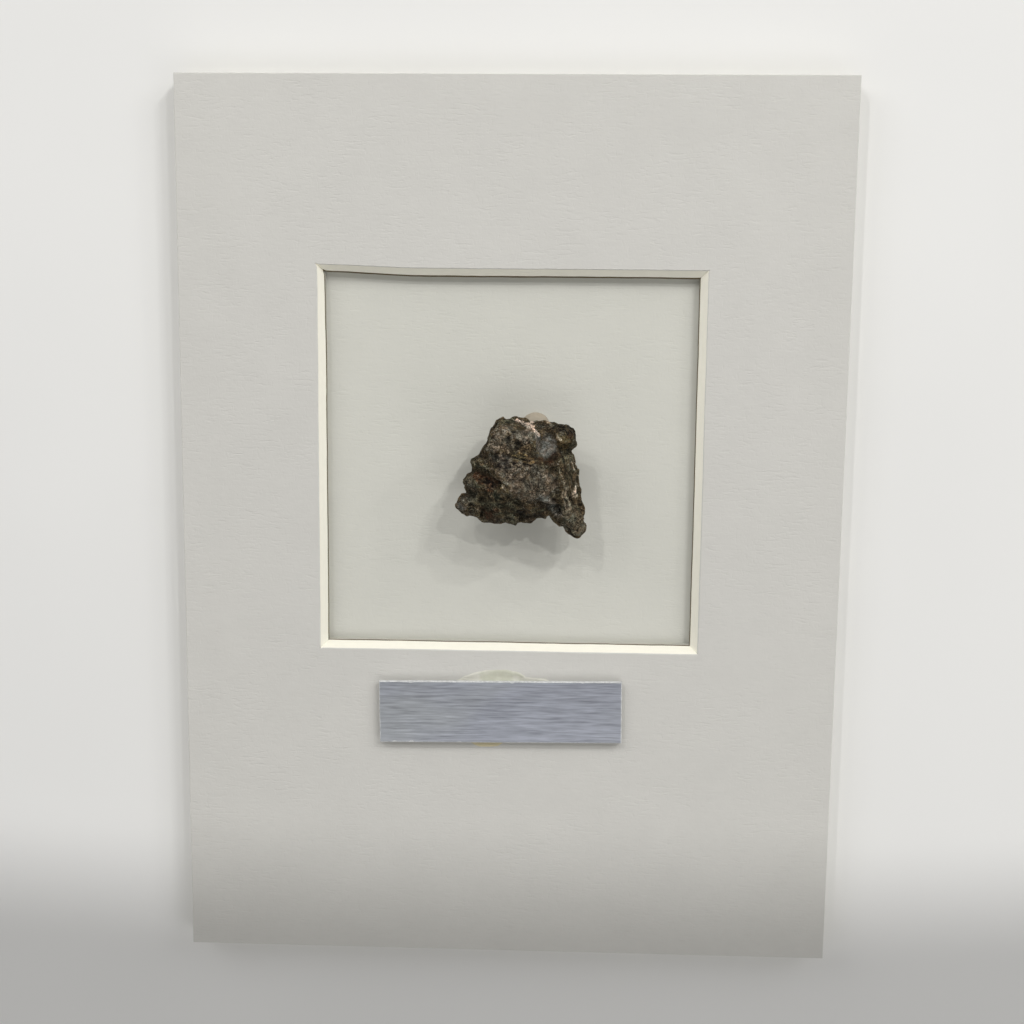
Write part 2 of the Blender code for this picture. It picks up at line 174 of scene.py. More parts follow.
@dataclass
class Grains:
    """Round grains packed in space, as seen from each point."""

    FAR: ClassVar[float] = 9.0
    TILT: ClassVar[float] = 2.2
    OWN_STEP: ClassVar[int] = 7
    TILT_STEP: ClassVar[int] = 11

    near: np.ndarray
    gap: np.ndarray
    tone: np.ndarray
    facet: np.ndarray

    @staticmethod
    def sown(points: np.ndarray, size: float, seed: int) -> "Grains":
        """Sows one grain in each lattice cell and measures the points against them.

        Args:
            points: places, one row a point.
            size: the mean width of a grain.
            seed: picks one packing.

        Returns:
            The distance to the nearest grain's middle, how much farther the next one is,
            both in grain widths, the nearest grain's own tone from 0 to 1, and the height
            of its flat, tilted top from about -1 to 1.
        """
        grid = points / size
        base = np.floor(grid)
        near = np.full(len(points), Grains.FAR)
        second = np.full(len(points), Grains.FAR)
        tone = np.zeros(len(points))
        facet = np.zeros(len(points))
        for corner in itertools.product((-1, 0, 1), repeat=3):
            cell = base + np.array(corner)
            middle = cell + np.stack([scatter(cell, seed + axis) for axis in range(3)], axis=1)
            away = np.linalg.norm(grid - middle, axis=1)
            closer = away < near
            second = np.where(closer, near, np.minimum(second, away))
            own = scatter(cell, seed + Grains.OWN_STEP)
            slopes = [scatter(cell, seed + Grains.TILT_STEP + axis) - 0.5 for axis in range(3)]
            tilt = np.stack(slopes, axis=1)
            top = (own - 0.5) + Grains.TILT * np.sum(tilt * (grid - middle), axis=1)
            tone = np.where(closer, own, tone)
            facet = np.where(closer, top, facet)
            near = np.where(closer, away, near)
        return Grains(near, second - near, tone, facet)


def ease(values: np.ndarray, low: float, high: float) -> np.ndarray:
    """Rises softly from 0 at the low value to 1 at the high one."""
    part = np.clip((values - low) / (high - low), 0.0, 1.0)
    return part * part * (3.0 - 2.0 * part)


@dataclass
class Graph:
    """Lays out the nodes of one material or one node group."""

    tree: bpy.types.NodeTree

    def feed(self, socket: bpy.types.NodeSocket, value: object) -> None:
        """Links a socket to the value, or sets it where the value is plain.

        Args:
            socket: the socket that gets the value.
            value: another node's socket, a number or a colour.
        """
        if isinstance(value, bpy.types.NodeSocket):
            self.tree.links.new(value, socket)
        elif socket.type == "VECTOR":
            socket.default_value = tuple(value)[:3]
        else:
            socket.default_value = value

    def add(self, kind: str, feeds: dict | None = None, **settings: object) -> bpy.types.Node:
        """Adds a node.

        Args:
            kind: the node's type name.
            feeds: values or sockets for its inputs, by name or place.
            settings: the node's own options.

        Returns:
            The new node.
        """
        node = self.tree.nodes.new(kind)
        for name, value in settings.items():
            setattr(node, name, value)
        for socket, value in (feeds or {}).items():
            self.feed(node.inputs[socket], value)
        return node

    def calc(
        self, operation: str, first: object, second: object = 0.5, clamp: bool = False
    ) -> bpy.types.NodeSocket:
        """Works out one sum of two values.

        Args:
            operation: the Math node's operation.
            first: a value or socket.
            second: a value or socket.
            clamp: keeps the result from 0 to 1.

        Returns:
            The result's socket.
        """
        node = self.add("ShaderNodeMath", {0: first, 1: second}, operation=operation, use_clamp=clamp)
        return node.outputs[0]

    def centred(self, value: object, middle: float = 0.5) -> bpy.types.NodeSocket:
        """Moves a value that wanders about a middle so that it wanders about 0."""
        return self.calc("SUBTRACT", value, middle)

    def lines(self, value: object, middle: float = 0.5) -> bpy.types.NodeSocket:
        """Gives 0 along the lines where a value crosses a middle, and more beside them."""
        return self.calc("ABSOLUTE", self.centred(value, middle))

    def about_one(self, value: object, strength: object) -> bpy.types.NodeSocket:
        """Turns a value that wanders about 0 into a factor that wanders about 1.

        Args:
            value: a value or socket.
            strength: how strongly the factor follows it.

        Returns:
            The factor's socket.
        """
        factor = self.calc("MULTIPLY_ADD", value, strength)
        factor.node.inputs[2].default_value = 1.0
        return factor

    def span(
        self, value: object, low: float, high: float, to_low: float = 0.0, to_high: float = 1.0
    ) -> bpy.types.NodeSocket:
        """Carries a value softly from one range to another.

        Args:
            value: a value or socket.
            low: where the first range starts.
            high: where it ends.
            to_low: the result at its start.
            to_high: the result at its end.

        Returns:
            The result's socket.
        """
        feeds = {"Value": value, "From Min": low, "From Max": high, "To Min": to_low, "To Max": to_high}
        return self.add("ShaderNodeMapRange", feeds, interpolation_type="SMOOTHSTEP").outputs["Result"]

    def mix(self, share: object, low: object, high: object, mode: str = "MIX") -> bpy.types.NodeSocket:
        """Mixes two colours.

        Args:
            share: how much of the second colour shows.
            low: the first colour.
            high: the second colour.
            mode: how they are mixed.

        Returns:
            The mixed colour's socket.
        """
        node = self.add("ShaderNodeMix", data_type="RGBA", blend_type=mode)
        self.feed(node.inputs[0], share)
        self.feed(node.inputs[6], low)
        self.feed(node.inputs[7], high)
        return node.outputs[2]

    def scaled(self, colour: object, factor: object) -> bpy.types.NodeSocket:
        """Makes a colour lighter or darker by a factor."""
        return self.add("ShaderNodeVectorMath", {0: colour, "Scale": factor}, operation="SCALE").outputs[0]

    def place(self) -> bpy.types.NodeSocket:
        """Gives the place on the object in millimetres."""
        where = self.add("ShaderNodeTexCoord").outputs["Object"]
        return self.scaled(where, 1.0 / MM)

    def stretched(
        self, where: object, scale: tuple[float, float, float], turn: float = 0.0
    ) -> bpy.types.NodeSocket:
        """Scales and turns a place, so that a pattern on it stretches.

        Args:
            where: the place's socket.
            scale: a factor for each axis.
            turn: a turn about +Z in degrees.

        Returns:
            The new place's socket.
        """
        feeds = {"Vector": where, "Rotation": (0.0, 0.0, math.radians(turn)), "Scale": scale}
        return self.add("ShaderNodeMapping", feeds, vector_type="POINT").outputs[0]

    def noise(
        self, where: object, size: float, detail: float = 2.0, warp: float = 0.0
    ) -> bpy.types.NodeSocket:
        """Gives cloudy noise.

        Args:
            where: the place's socket, in millimetres.
            size: the width of its clouds in millimetres.
            detail: how many finer layers it has.
            warp: how much it curls.

        Returns:
            A value's socket, from 0 to 1 about 0.5.
        """
        feeds = {"Vector": where, "Scale": 1.0 / size, "Detail": detail, "Distortion": warp}
        return self.add("ShaderNodeTexNoise", feeds).outputs["Fac"]

    def cells(self, where: object, size: float, feature: str = "F1") -> bpy.types.Node:
        """Adds a cell pattern whose cells are that many millimetres wide."""
        return self.add("ShaderNodeTexVoronoi", {"Vector": where, "Scale": 1.0 / size}, feature=feature)

    def attribute(self, name: str) -> bpy.types.NodeSocket:
        """Reads a value that the mesh keeps at its points."""
        return self.add("ShaderNodeAttribute", attribute_name=name).outputs["Fac"]

    def bump(self, height: object, strength: float = 1.0) -> bpy.types.NodeSocket:
        """Turns a height in millimetres into a normal."""
        return self.add("ShaderNodeBump", {"Height": height, "Strength": strength, "Distance": MM}).outputs[0]


@dataclass
class Finish:
    """A material under way: its name, its nodes and its surface shader."""

    name: str
    roughness: float = 0.8
    metallic: float = 0.0
    specular: float = 0.3
    graph: Graph = field(init=False)
    material: bpy.types.Material = field(init=False)

    def __post_init__(self) -> None:
        """Starts the material with an empty node tree."""
        self.material = bpy.data.materials.new(self.name)
        self.material.use_nodes = True
        self.material.node_tree.nodes.clear()
        self.graph = Graph(self.material.node_tree)

    def close(
        self, colour: object, normal: object = None, roughness: object = None
    ) -> bpy.types.Material:
        """Adds the surface shader and the output.

        Args:
            colour: the base colour.
            normal: the bumped normal, if there is one.
            roughness: a roughness that varies, if there is one.

        Returns:
            The finished material.
        """
        shader = self.graph.add("ShaderNodeBsdfPrincipled")
        shader.inputs["Roughness"].default_value = self.roughness
        shader.inputs["Metallic"].default_value = self.metallic
        shader.inputs["Specular IOR Level"].default_value = self.specular
        self.graph.feed(shader.inputs["Base Color"], colour)
        if roughness is not None:
            self.graph.feed(shader.inputs["Roughness"], roughness)
        if normal is not None:
            self.graph.feed(shader.inputs["Normal"], normal)
        self.graph.add("ShaderNodeOutputMaterial", {"Surface": shader.outputs[0]})
        return self.material


@dataclass(frozen=True)
class SharedEffect:
    """A node group that several materials place with values of their own."""

    name: str
    inputs: tuple[tuple[str, str], ...]
    outputs: tuple[tuple[str, str], ...]

    def started(self) -> tuple[Graph, bpy.types.Node, bpy.types.Node]:
        """Makes the empty group with its sockets.

        Returns:
            The group's graph, its input node and its output node.
        """
        tree = bpy.data.node_groups.new(self.name, "ShaderNodeTree")
        for label, kind in self.inputs:
            tree.interface.new_socket(name=label, in_out="INPUT", socket_type=kind)
        for label, kind in self.outputs:
            tree.interface.new_socket(name=label, in_out="OUTPUT", socket_type=kind)
        graph = Graph(tree)
        return graph, graph.add("NodeGroupInput"), graph.add("NodeGroupOutput")

    def placed(self, graph: Graph, **feeds: object) -> bpy.types.Node:
        """Places the group in a material.

        Args:
            graph: the material's graph.
            feeds: values or sockets for the group's inputs.

        Returns:
            The group's node.
        """
        node = graph.add("ShaderNodeGroup", node_tree=bpy.data.node_groups[self.name])
        for label, value in feeds.items():
            graph.feed(node.inputs[label], value)
        return node


PAPER_GRAIN = SharedEffect(
    "paper_grain",
    (
        ("Place", "NodeSocketVector"),
        ("Marks", "NodeSocketFloat"),
        ("Tooth", "NodeSocketFloat"),
        ("Mottle", "NodeSocketFloat"),
    ),
    (("Tone", "NodeSocketFloat"), ("Height", "NodeSocketFloat")),
)

DUST = SharedEffect(
    "dust_specks",
    (("Place", "NodeSocketVector"), ("Amount", "NodeSocketFloat")),
    (("Mask", "NodeSocketFloat"),),
)


def build_paper_grain() -> None:
    """Builds the felt marks, tooth and mottling that the mat, card and boards share."""
    graph, given, out = PAPER_GRAIN.started()
    place = given.outputs["Place"]
    felt = graph.noise(graph.stretched(place, (0.55, 2.4, 1.0), 4.0), size=1.0, detail=2.0, warp=0.4)
    crossing = graph.noise(graph.stretched(place, (2.0, 0.8, 1.0), -14.0), size=1.0, detail=1.0, warp=0.5)
    sparse = graph.span(graph.noise(place, size=5.0, detail=2.0), 0.42, 0.6, 0.25, 1.0)
    groove = graph.calc("MULTIPLY", graph.span(felt, 0.5, 0.72), sparse)
    fleck = graph.calc("MULTIPLY", graph.span(crossing, 0.58, 0.76), 0.4)
    marks = graph.calc("MULTIPLY", graph.calc("ADD", groove, fleck), given.outputs["Marks"])
    tooth = graph.centred(graph.noise(place, size=0.42, detail=3.0))
    weave = graph.noise(graph.stretched(place, (0.5, 1.4, 1.0), 8.0), size=0.9, detail=2.0)
    weave = graph.centred(weave)
    rough = graph.calc("MULTIPLY", graph.calc("ADD", tooth, weave), given.outputs["Tooth"])
    height = graph.calc("SUBTRACT", rough, marks)
    broad = graph.centred(graph.noise(place, size=7.0, detail=3.0))
    small = graph.centred(graph.noise(graph.stretched(place, (0.8, 1.3, 1.0)), size=1.1, detail=2.0))
    clouds = graph.calc("ADD", broad, graph.calc("MULTIPLY", small, 0.6))
    graph.feed(out.inputs["Tone"], graph.about_one(clouds, given.outputs["Mottle"]))
    graph.feed(out.inputs["Height"], height)


def build_dust() -> None:
    """Builds the sparse pale specks that settle on the mat, card, label and film."""
    graph, given, out = DUST.started()
    cell = graph.cells(given.outputs["Place"], 2.3)
    chosen = graph.calc("LESS_THAN", cell.outputs["Color"], given.outputs["Amount"])
    speck = graph.span(cell.outputs["Distance"], 0.03, 0.06, 1.0, 0.0)
    graph.feed(out.inputs["Mask"], graph.calc("MULTIPLY", chosen, speck))


@dataclass(frozen=True)
class PaperFinish:
    """A board's paper: its shown colour and how rough, marked and mottled it is."""

    name: str
    tint: Tint
    marks: float
    tooth: float
    mottle: float
    dust: float = 0.02
    dust_light: float = 0.06

    def made(self) -> bpy.types.Material:
        """Makes the paper's material.

        Returns:
            The finished material.
        """
        finish = Finish(self.name, roughness=0.92, specular=0.15)
        graph = finish.graph
        place = graph.place()
        feeds = {"Marks": self.marks, "Tooth": self.tooth, "Mottle": self.mottle}
        grain = PAPER_GRAIN.placed(graph, Place=place, **feeds)
        specks = DUST.placed(graph, Place=place, Amount=self.dust).outputs["Mask"]
        tone = graph.calc("ADD", grain.outputs["Tone"], graph.calc("MULTIPLY", specks, self.dust_light))
        colour = graph.scaled(self.tint.albedo(), tone)
        return finish.close(colour, graph.bump(grain.outputs["Height"]))


@dataclass(frozen=True)
class CutCoreFinish:
    """The cut core of a board: smooth cream with faint knife marks."""

    name: str
    tint: Tint
    contrast: float = 0.07
    roughened: float = 0.02

    def made(self) -> bpy.types.Material:
        """Makes the core's material.

        Returns:
            The finished material.
        """
        finish = Finish(self.name, roughness=0.85, specular=0.2)
        graph = finish.graph
        place = graph.place()
        knife = graph.noise(graph.stretched(place, (1.0, 1.0, 5.0)), size=1.3, detail=3.0)
        fine = graph.noise(place, size=0.25, detail=2.0)
        lines = graph.calc("SUBTRACT", knife, 0.5)
        tone = graph.about_one(lines, self.contrast)
        height = graph.calc("MULTIPLY", graph.calc("ADD", lines, fine), self.roughened)
        return finish.close(graph.scaled(self.tint.albedo(1.0), tone), graph.bump(height))


@dataclass(frozen=True)
class BrushedFinish:
    """The label's thin brushed skin: cool grey with fine level streaks, painted lighter towards its lower
    edge and darker towards its upper edge as painted shade.
    """

    name: str
    tint: Tint
    lilac: Tint
    speck: Tint = Tint(190, 190, 190)
    lean: float = -0.8
    contrast: float = 0.85
    scratch: float = 0.012
    dust: float = 0.08
    low_edge: float = -34.0
    high_edge: float = -24.0

    def made(self) -> bpy.types.Material:
        """Makes the brushed material.

        Returns:
            The finished material.
        """
        finish = Finish(self.name, roughness=0.42, metallic=0.35, specular=0.5)
        graph = finish.graph
        place = graph.stretched(graph.place(), (1.0, 1.0, 1.0), self.lean)
        long_streak = graph.noise(graph.stretched(place, (0.13, 2.6, 1.0)), size=1.0, detail=3.0, warp=0.1)
        short_streak = graph.noise(graph.stretched(place, (0.34, 5.6, 1.0)), size=1.0, detail=2.0, warp=0.1)
        streaks = graph.calc("SUBTRACT", graph.calc("ADD", long_streak, short_streak), 1.0)
        middle = graph.noise(graph.stretched(place, (0.5, 1.0, 1.0)), size=9.0, detail=1.0)
        hue = graph.mix(graph.span(middle, 0.38, 0.62), self.tint.albedo(), self.lilac.albedo())
        tone = graph.about_one(streaks, self.contrast)
        specks = DUST.placed(graph, Place=place, Amount=self.dust).outputs["Mask"]
        # Painted shade: the skin is painted lighter at its lower edge and darker at its upper edge
        across = graph.add("ShaderNodeSeparateXYZ", {0: place}).outputs["Y"]
        hue = graph.scaled(hue, graph.span(across, self.low_edge, self.high_edge, 1.04, 0.93))
        colour = graph.mix(specks, graph.scaled(hue, tone), self.speck.albedo())
        height = graph.calc("MULTIPLY", streaks, self.scratch)
        rough = graph.span(streaks, -0.3, 0.3, 0.36, 0.52)
        return finish.close(colour, graph.bump(height), rough)


@dataclass(frozen=True)
class PlateCoreFinish:
    """The label's cut white plastic, which shows at its edges."""

    name: str
    tint: Tint

    def made(self) -> bpy.types.Material:
        """Makes the plastic's material.

        Returns:
            The finished material.
        """
        finish = Finish(self.name, roughness=0.35, specular=0.5)
        graph = finish.graph
        place = graph.place()
        saw = graph.noise(place, size=0.5, detail=3.0)
        colour = graph.scaled(self.tint.albedo(), graph.span(saw, 0.3, 0.7, 0.82, 1.12))
        return finish.close(colour, graph.bump(graph.calc("MULTIPLY", saw, 0.03)))


@dataclass(frozen=True)
class GlueFinish:
    """Dried glue: glossy, clear where it is thin, cloudy in its body and yellow where it is deep."""

    name: str
    thin: Tint
    cloudy: Tint
    deep: Tint
    gloss: float = 0.3
    speck: Tint = Tint(235, 232, 225)
    dust: float = 0.12
    wrinkle: float = 0.05
    dulling: float = 0.3

    def made(self) -> bpy.types.Material:
        """Makes the glue's material.

        Returns:
            The finished material.
        """
        finish = Finish(self.name, roughness=self.gloss, specular=0.5)
        graph = finish.graph
        place = graph.place()
        clouds = graph.noise(place, size=1.6, detail=3.0, warp=0.4)
        thick = graph.attribute("thick")
        depth = graph.calc("ADD", clouds, thick)
        colour = graph.mix(graph.span(depth, 0.7, 1.25), self.thin.albedo(), self.cloudy.albedo())
        colour = graph.mix(graph.span(depth, 1.3, 1.55), colour, self.deep.albedo())
        specks = DUST.placed(graph, Place=place, Amount=self.dust).outputs["Mask"]
        colour = graph.mix(specks, colour, self.speck.albedo())
        wrinkles = graph.calc("MULTIPLY", graph.noise(place, size=0.6, detail=2.0), self.wrinkle)
        rough = graph.span(clouds, 0.3, 0.7, self.gloss, self.gloss + self.dulling)
        return finish.close(colour, graph.bump(wrinkles), rough)


class Zone(Enum):
    """A kind of mineral that colours part of the stone; the dark zone is mostly painted shade in the pits,
    grooves and creases that it also sinks, and partly the stone's own dark colour.
    """

    PALE = "pale"
    OLIVE = "olive"
    LILAC = "lilac"
    PLUM = "plum"
    RUST = "rust"
    OCHRE = "ochre"
    CREAM = "cream"
    VEIN = "vein"
    DARK = "dark"
    SMOOTH = "smooth"
    RIBS = "ribs"


# Each zone's colour and cover, in the order in which they are laid over the ground mass
ZONE_TINTS: tuple[tuple[Zone, Tint, float], ...] = (
    (Zone.PALE, Tint(109, 101, 91), 0.6),
    (Zone.OLIVE, Tint(73, 74, 60), 0.7),
    (Zone.LILAC, Tint(122, 119, 112), 0.85),
    (Zone.PLUM, Tint(37, 30, 25), 0.85),
    (Zone.RUST, Tint(62, 37, 22), 0.75),
    (Zone.OCHRE, Tint(102, 86, 56), 0.75),
    (Zone.CREAM, Tint(162, 150, 131), 0.8),
    (Zone.VEIN, Tint(202, 182, 165), 0.95),
    # The dark zone's colour is mostly painted shade in pits, grooves and ledge gaps, partly dark stone
    (Zone.DARK, Tint(20, 15, 10), 0.9),
)


@dataclass(frozen=True)
class Patch:
    """One patch of a zone, along a path seen from the front, in stone millimetres."""

    zone: Zone
    reach: float
    strength: float
    path: tuple[tuple[float, float], ...]


PATCHES: tuple[Patch, ...] = (
    Patch(
        Zone.VEIN, 0.36, 1.0,
        ((-0.6, 8.7), (-0.1, 8.5), (0.5, 8.1), (1.0, 8.0), (1.7, 7.5), (2.2, 6.8), (2.5, 6.5)),
    ),
    Patch(Zone.VEIN, 0.34, 0.9, ((1.0, 8.1), (1.7, 8.4))),
    Patch(Zone.VEIN, 0.6, 1.0, ((0.3, 8.2), (1.4, 7.8))),
    Patch(Zone.LILAC, 1.15, 1.0, ((4.0, 5.5), (4.4, 4.6), (3.3, 3.8))),
    Patch(Zone.LILAC, 0.8, 0.3, ((-4.3, 2.9), (-2.7, 3.0), (-2.4, 2.0))),
    Patch(Zone.PLUM, 1.1, 0.95, ((-3.6, 2.6), (-2.6, 1.8))),
    Patch(Zone.LILAC, 0.9, 0.75, ((3.4, -3.3), (4.9, -4.1), (5.7, -5.2))),
    Patch(Zone.LILAC, 0.8, 0.8, ((-9.2, -4.6), (-9.5, -4.7))),
    Patch(Zone.SMOOTH, 1.4, 1.0, ((4.0, 5.5), (4.4, 4.6), (3.3, 3.8))),
    Patch(Zone.SMOOTH, 0.9, 0.9, ((-4.4, -6.4), (-5.0, -5.9), (-3.8, -7.3))),
    Patch(Zone.SMOOTH, 0.9, 0.8, ((-9.2, -4.6), (-9.5, -4.7))),
    Patch(Zone.LILAC, 0.75, 0.95, ((2.4, 6.0), (2.6, 4.8))),
    Patch(Zone.SMOOTH, 0.8, 0.8, ((2.4, 6.0), (2.6, 4.8))),
    Patch(Zone.OLIVE, 0.5, 0.5, ((2.2, 5.8), (2.3, 4.9))),
    Patch(Zone.OLIVE, 0.75, 0.9, ((-3.8, -2.4), (-4.2, -1.7), (-3.3, -3.4))),
    Patch(Zone.OLIVE, 0.6, 1.0, ((3.1, -4.9),)),
    Patch(Zone.OLIVE, 1.8, 0.55, ((-6.9, -3.2), (-4.4, -4.6), (-1.9, -4.1), (-1.2, -6.9))),
    Patch(Zone.OLIVE, 0.7, 0.7, ((-4.0, 8.4), (-1.4, 8.5))),
    Patch(Zone.OLIVE, 0.9, 0.6, ((-7.6, 2.3), (-6.8, 2.2), (-6.0, 1.9))),
    Patch(Zone.OLIVE, 1.0, 0.6, ((-8.1, -0.8), (-8.6, -1.4), (-7.0, -1.2))),
    Patch(Zone.OLIVE, 0.9, 0.6, ((8.4, 4.9), (7.8, 4.3), (7.1, 3.8), (6.8, 2.6))),
    Patch(Zone.OLIVE, 1.9, 0.5, ((6.9, -5.4), (9.9, -8.6))),
    Patch(Zone.RUST, 0.9, 1.0, ((-6.6, 0.3), (-5.6, -0.5), (-4.0, -0.6), (-4.4, -1.6))),
    Patch(Zone.RUST, 0.65, 0.85, ((3.2, 2.9), (4.5, 2.7), (5.3, 3.6))),
    Patch(Zone.RUST, 0.7, 0.7, ((7.4, 6.7),)),
    Patch(Zone.RUST, 0.6, 0.7, ((-6.0, -4.9), (-5.1, -5.9), (-3.7, -5.1))),
    # Dark patches: mostly painted shade in the pits, grooves, overhangs and rims, partly the stone's dark
    # colour
    Patch(Zone.DARK, 0.45, 1.0, ((-5.3, -0.6), (-4.6, -0.8), (-4.1, -1.3))),
    Patch(Zone.DARK, 0.35, 0.8, ((-2.0, 6.1),)),
    Patch(Zone.DARK, 0.6, 0.8, ((-0.4, 5.3),)),
    Patch(Zone.DARK, 0.5, 0.8, ((-0.7, 4.4),)),
    Patch(Zone.DARK, 0.35, 0.8, ((-1.3, 7.0),)),
    Patch(Zone.DARK, 0.7, 1.0, ((0.2, -6.0), (0.0, -5.2))),
    Patch(Zone.DARK, 0.5, 0.8, ((8.1, -8.8), (7.3, -7.5))),
    Patch(Zone.DARK, 1.4, 1.0, ((5.6, 8.1), (7.0, 7.6), (8.2, 6.9))),
    Patch(Zone.DARK, 1.8, 0.1, ((-6.9, -3.2), (-4.4, -4.6), (-1.9, -4.1), (-0.4, -4.9), (1.6, -6.1))),
    Patch(Zone.DARK, 0.8, 0.5, ((-4.9, 8.0), (-5.6, 6.0), (-5.9, 4.2), (-7.2, 2.6))),
    Patch(Zone.DARK, 1.0, 0.5, ((2.4, 8.2), (4.2, 7.4), (6.0, 8.0), (7.9, 7.6), (8.4, 5.9))),
    Patch(Zone.DARK, 1.0, 0.4, ((3.0, 3.0), (4.9, 2.4), (5.6, 3.9))),
    Patch(Zone.DARK, 0.9, 0.45, ((-7.9, 0.6), (-8.9, -1.6), (-8.6, -3.4), (-9.6, -4.9))),
    Patch(Zone.DARK, 0.8, 0.2, ((3.2, -4.2), (5.1, -4.9), (6.3, -6.2))),
    Patch(Zone.PLUM, 0.95, 0.9, ((-4.4, -6.4), (-5.0, -5.9), (-3.8, -7.3))),
    Patch(Zone.PLUM, 0.8, 0.8, ((1.4, -6.3), (3.1, -5.7))),
    Patch(Zone.PALE, 1.2, 0.6, ((-4.9, 4.9), (-3.4, 5.5), (-1.9, 5.1))),
    Patch(Zone.PALE, 0.4, 1.0, ((-4.1, 4.3), (-5.2, 4.3))),
    Patch(Zone.PALE, 0.9, 0.7, ((-3.1, 6.5), (-2.0, 7.6))),
    Patch(Zone.PALE, 2.0, 0.7, ((-1.8, 1.5), (1.4, 0.4), (4.2, -1.1), (2.2, -2.4), (0.2, -1.4))),
    Patch(Zone.PALE, 1.5, 0.45, ((7.2, -5.2), (9.9, -8.6))),
    Patch(Zone.CREAM, 0.3, 1.0, ((2.2, 1.9),)),
    Patch(Zone.CREAM, 0.25, 0.9, ((0.3, 0.1),)),
    Patch(Zone.CREAM, 0.28, 0.9, ((3.5, 0.3),)),
    Patch(Zone.CREAM, 0.25, 0.8, ((-3.5, 2.5),)),
    Patch(Zone.CREAM, 0.25, 0.8, ((-1.9, 3.8),)),
    Patch(Zone.OCHRE, 0.24, 1.0, ((-1.2, 3.2), (0.4, 3.1), (1.9, 2.8))),
    Patch(Zone.OCHRE, 0.24, 1.0, ((-1.1, 2.5), (0.4, 2.4), (1.7, 2.2))),
    Patch(Zone.OCHRE, 0.22, 0.9, ((-0.4, 3.7), (1.1, 3.4))),
    Patch(Zone.OCHRE, 0.5, 1.0, ((-2.9, -1.3), (-2.6, -1.5), (-2.1, -1.9))),
    Patch(Zone.CREAM, 0.4, 0.8, ((-2.8, -1.4), (-2.4, -1.7))),
    # Dark lines painted as shade in the gaps between the ledges
    Patch(Zone.DARK, 0.15, 1.0, ((-1.2, 2.85), (0.2, 2.78), (1.4, 2.5))),
    Patch(Zone.DARK, 0.15, 1.0, ((-1.2, 2.15), (0.4, 2.1), (1.6, 1.8))),
    Patch(Zone.DARK, 0.13, 0.9, ((-0.4, 3.45), (0.6, 3.4), (1.3, 3.1))),
    Patch(Zone.PALE, 1.0, 0.9, ((-0.6, 6.6), (0.4, 6.0), (1.0, 6.9))),
    Patch(Zone.PALE, 1.1, 0.85, ((-8.0, -1.0), (-7.4, -1.8), (-8.3, -3.2))),
    Patch(Zone.OCHRE, 0.6, 0.6, ((5.5, 6.0), (6.9, 5.8), (6.0, 5.1), (6.6, 4.3), (7.3, 5.4))),
    Patch(Zone.CREAM, 0.28, 1.0, ((5.6, 6.1), (5.9, 5.9))),
    Patch(Zone.CREAM, 0.15, 0.6, ((5.8, 1.3), (6.5, -0.3), (7.2, -1.8))),
    Patch(Zone.CREAM, 0.15, 0.6, ((7.6, 2.6), (8.1, 1.4), (8.7, 0.3))),
    Patch(Zone.CREAM, 0.62, 1.0, ((8.3, -1.0), (8.2, -2.3))),
    Patch(Zone.VEIN, 0.34, 0.7, ((8.3, -1.3), (8.25, -1.9))),
    Patch(Zone.CREAM, 0.5, 0.45, ((6.6, -2.4), (6.9, -3.3), (7.3, -4.4))),
    Patch(Zone.CREAM, 0.2, 0.8, ((6.6, -0.8), (7.0, -2.1))),
    Patch(Zone.CREAM, 0.16, 0.9, ((-1.3, 8.9), (-0.6, 8.7), (0.0, 8.6))),
    Patch(Zone.CREAM, 0.3, 0.8, ((4.0, 8.5), (4.6, 8.1))),
    Patch(Zone.RIBS, 1.5, 1.0, ((6.0, 3.4), (7.2, 1.5), (7.6, -1.2), (7.4, -4.0))),
)


@dataclass(frozen=True)
class Dots:
    """Small scattered dots: pores where they are dark and crystals where they are light.

    apart is the mean distance between two places for a dot in millimetres, share says how
    many of those places have one, and tone is the factor in a dot's middle.
    """

    apart: float
    share: float
    tone: float

    def factor(self, graph: Graph, place: object) -> bpy.types.NodeSocket:
        """Gives the dots as a factor on a colour.

        Args:
            graph: the material's graph.
            place: the place's socket, in millimetres.

        Returns:
            The factor's socket, which is 1 beside the dots.
        """
        cell = graph.cells(place, self.apart)
        parts = graph.add("ShaderNodeSeparateColor", {0: cell.outputs["Color"]}).outputs
        chosen = graph.calc("LESS_THAN", parts[1], self.share)
        dot = graph.calc("MULTIPLY", chosen, graph.span(cell.outputs["Distance"], 0.16, 0.36, 1.0, 0.0))
        return graph.span(dot, 0.0, 1.0, 1.0, self.tone)


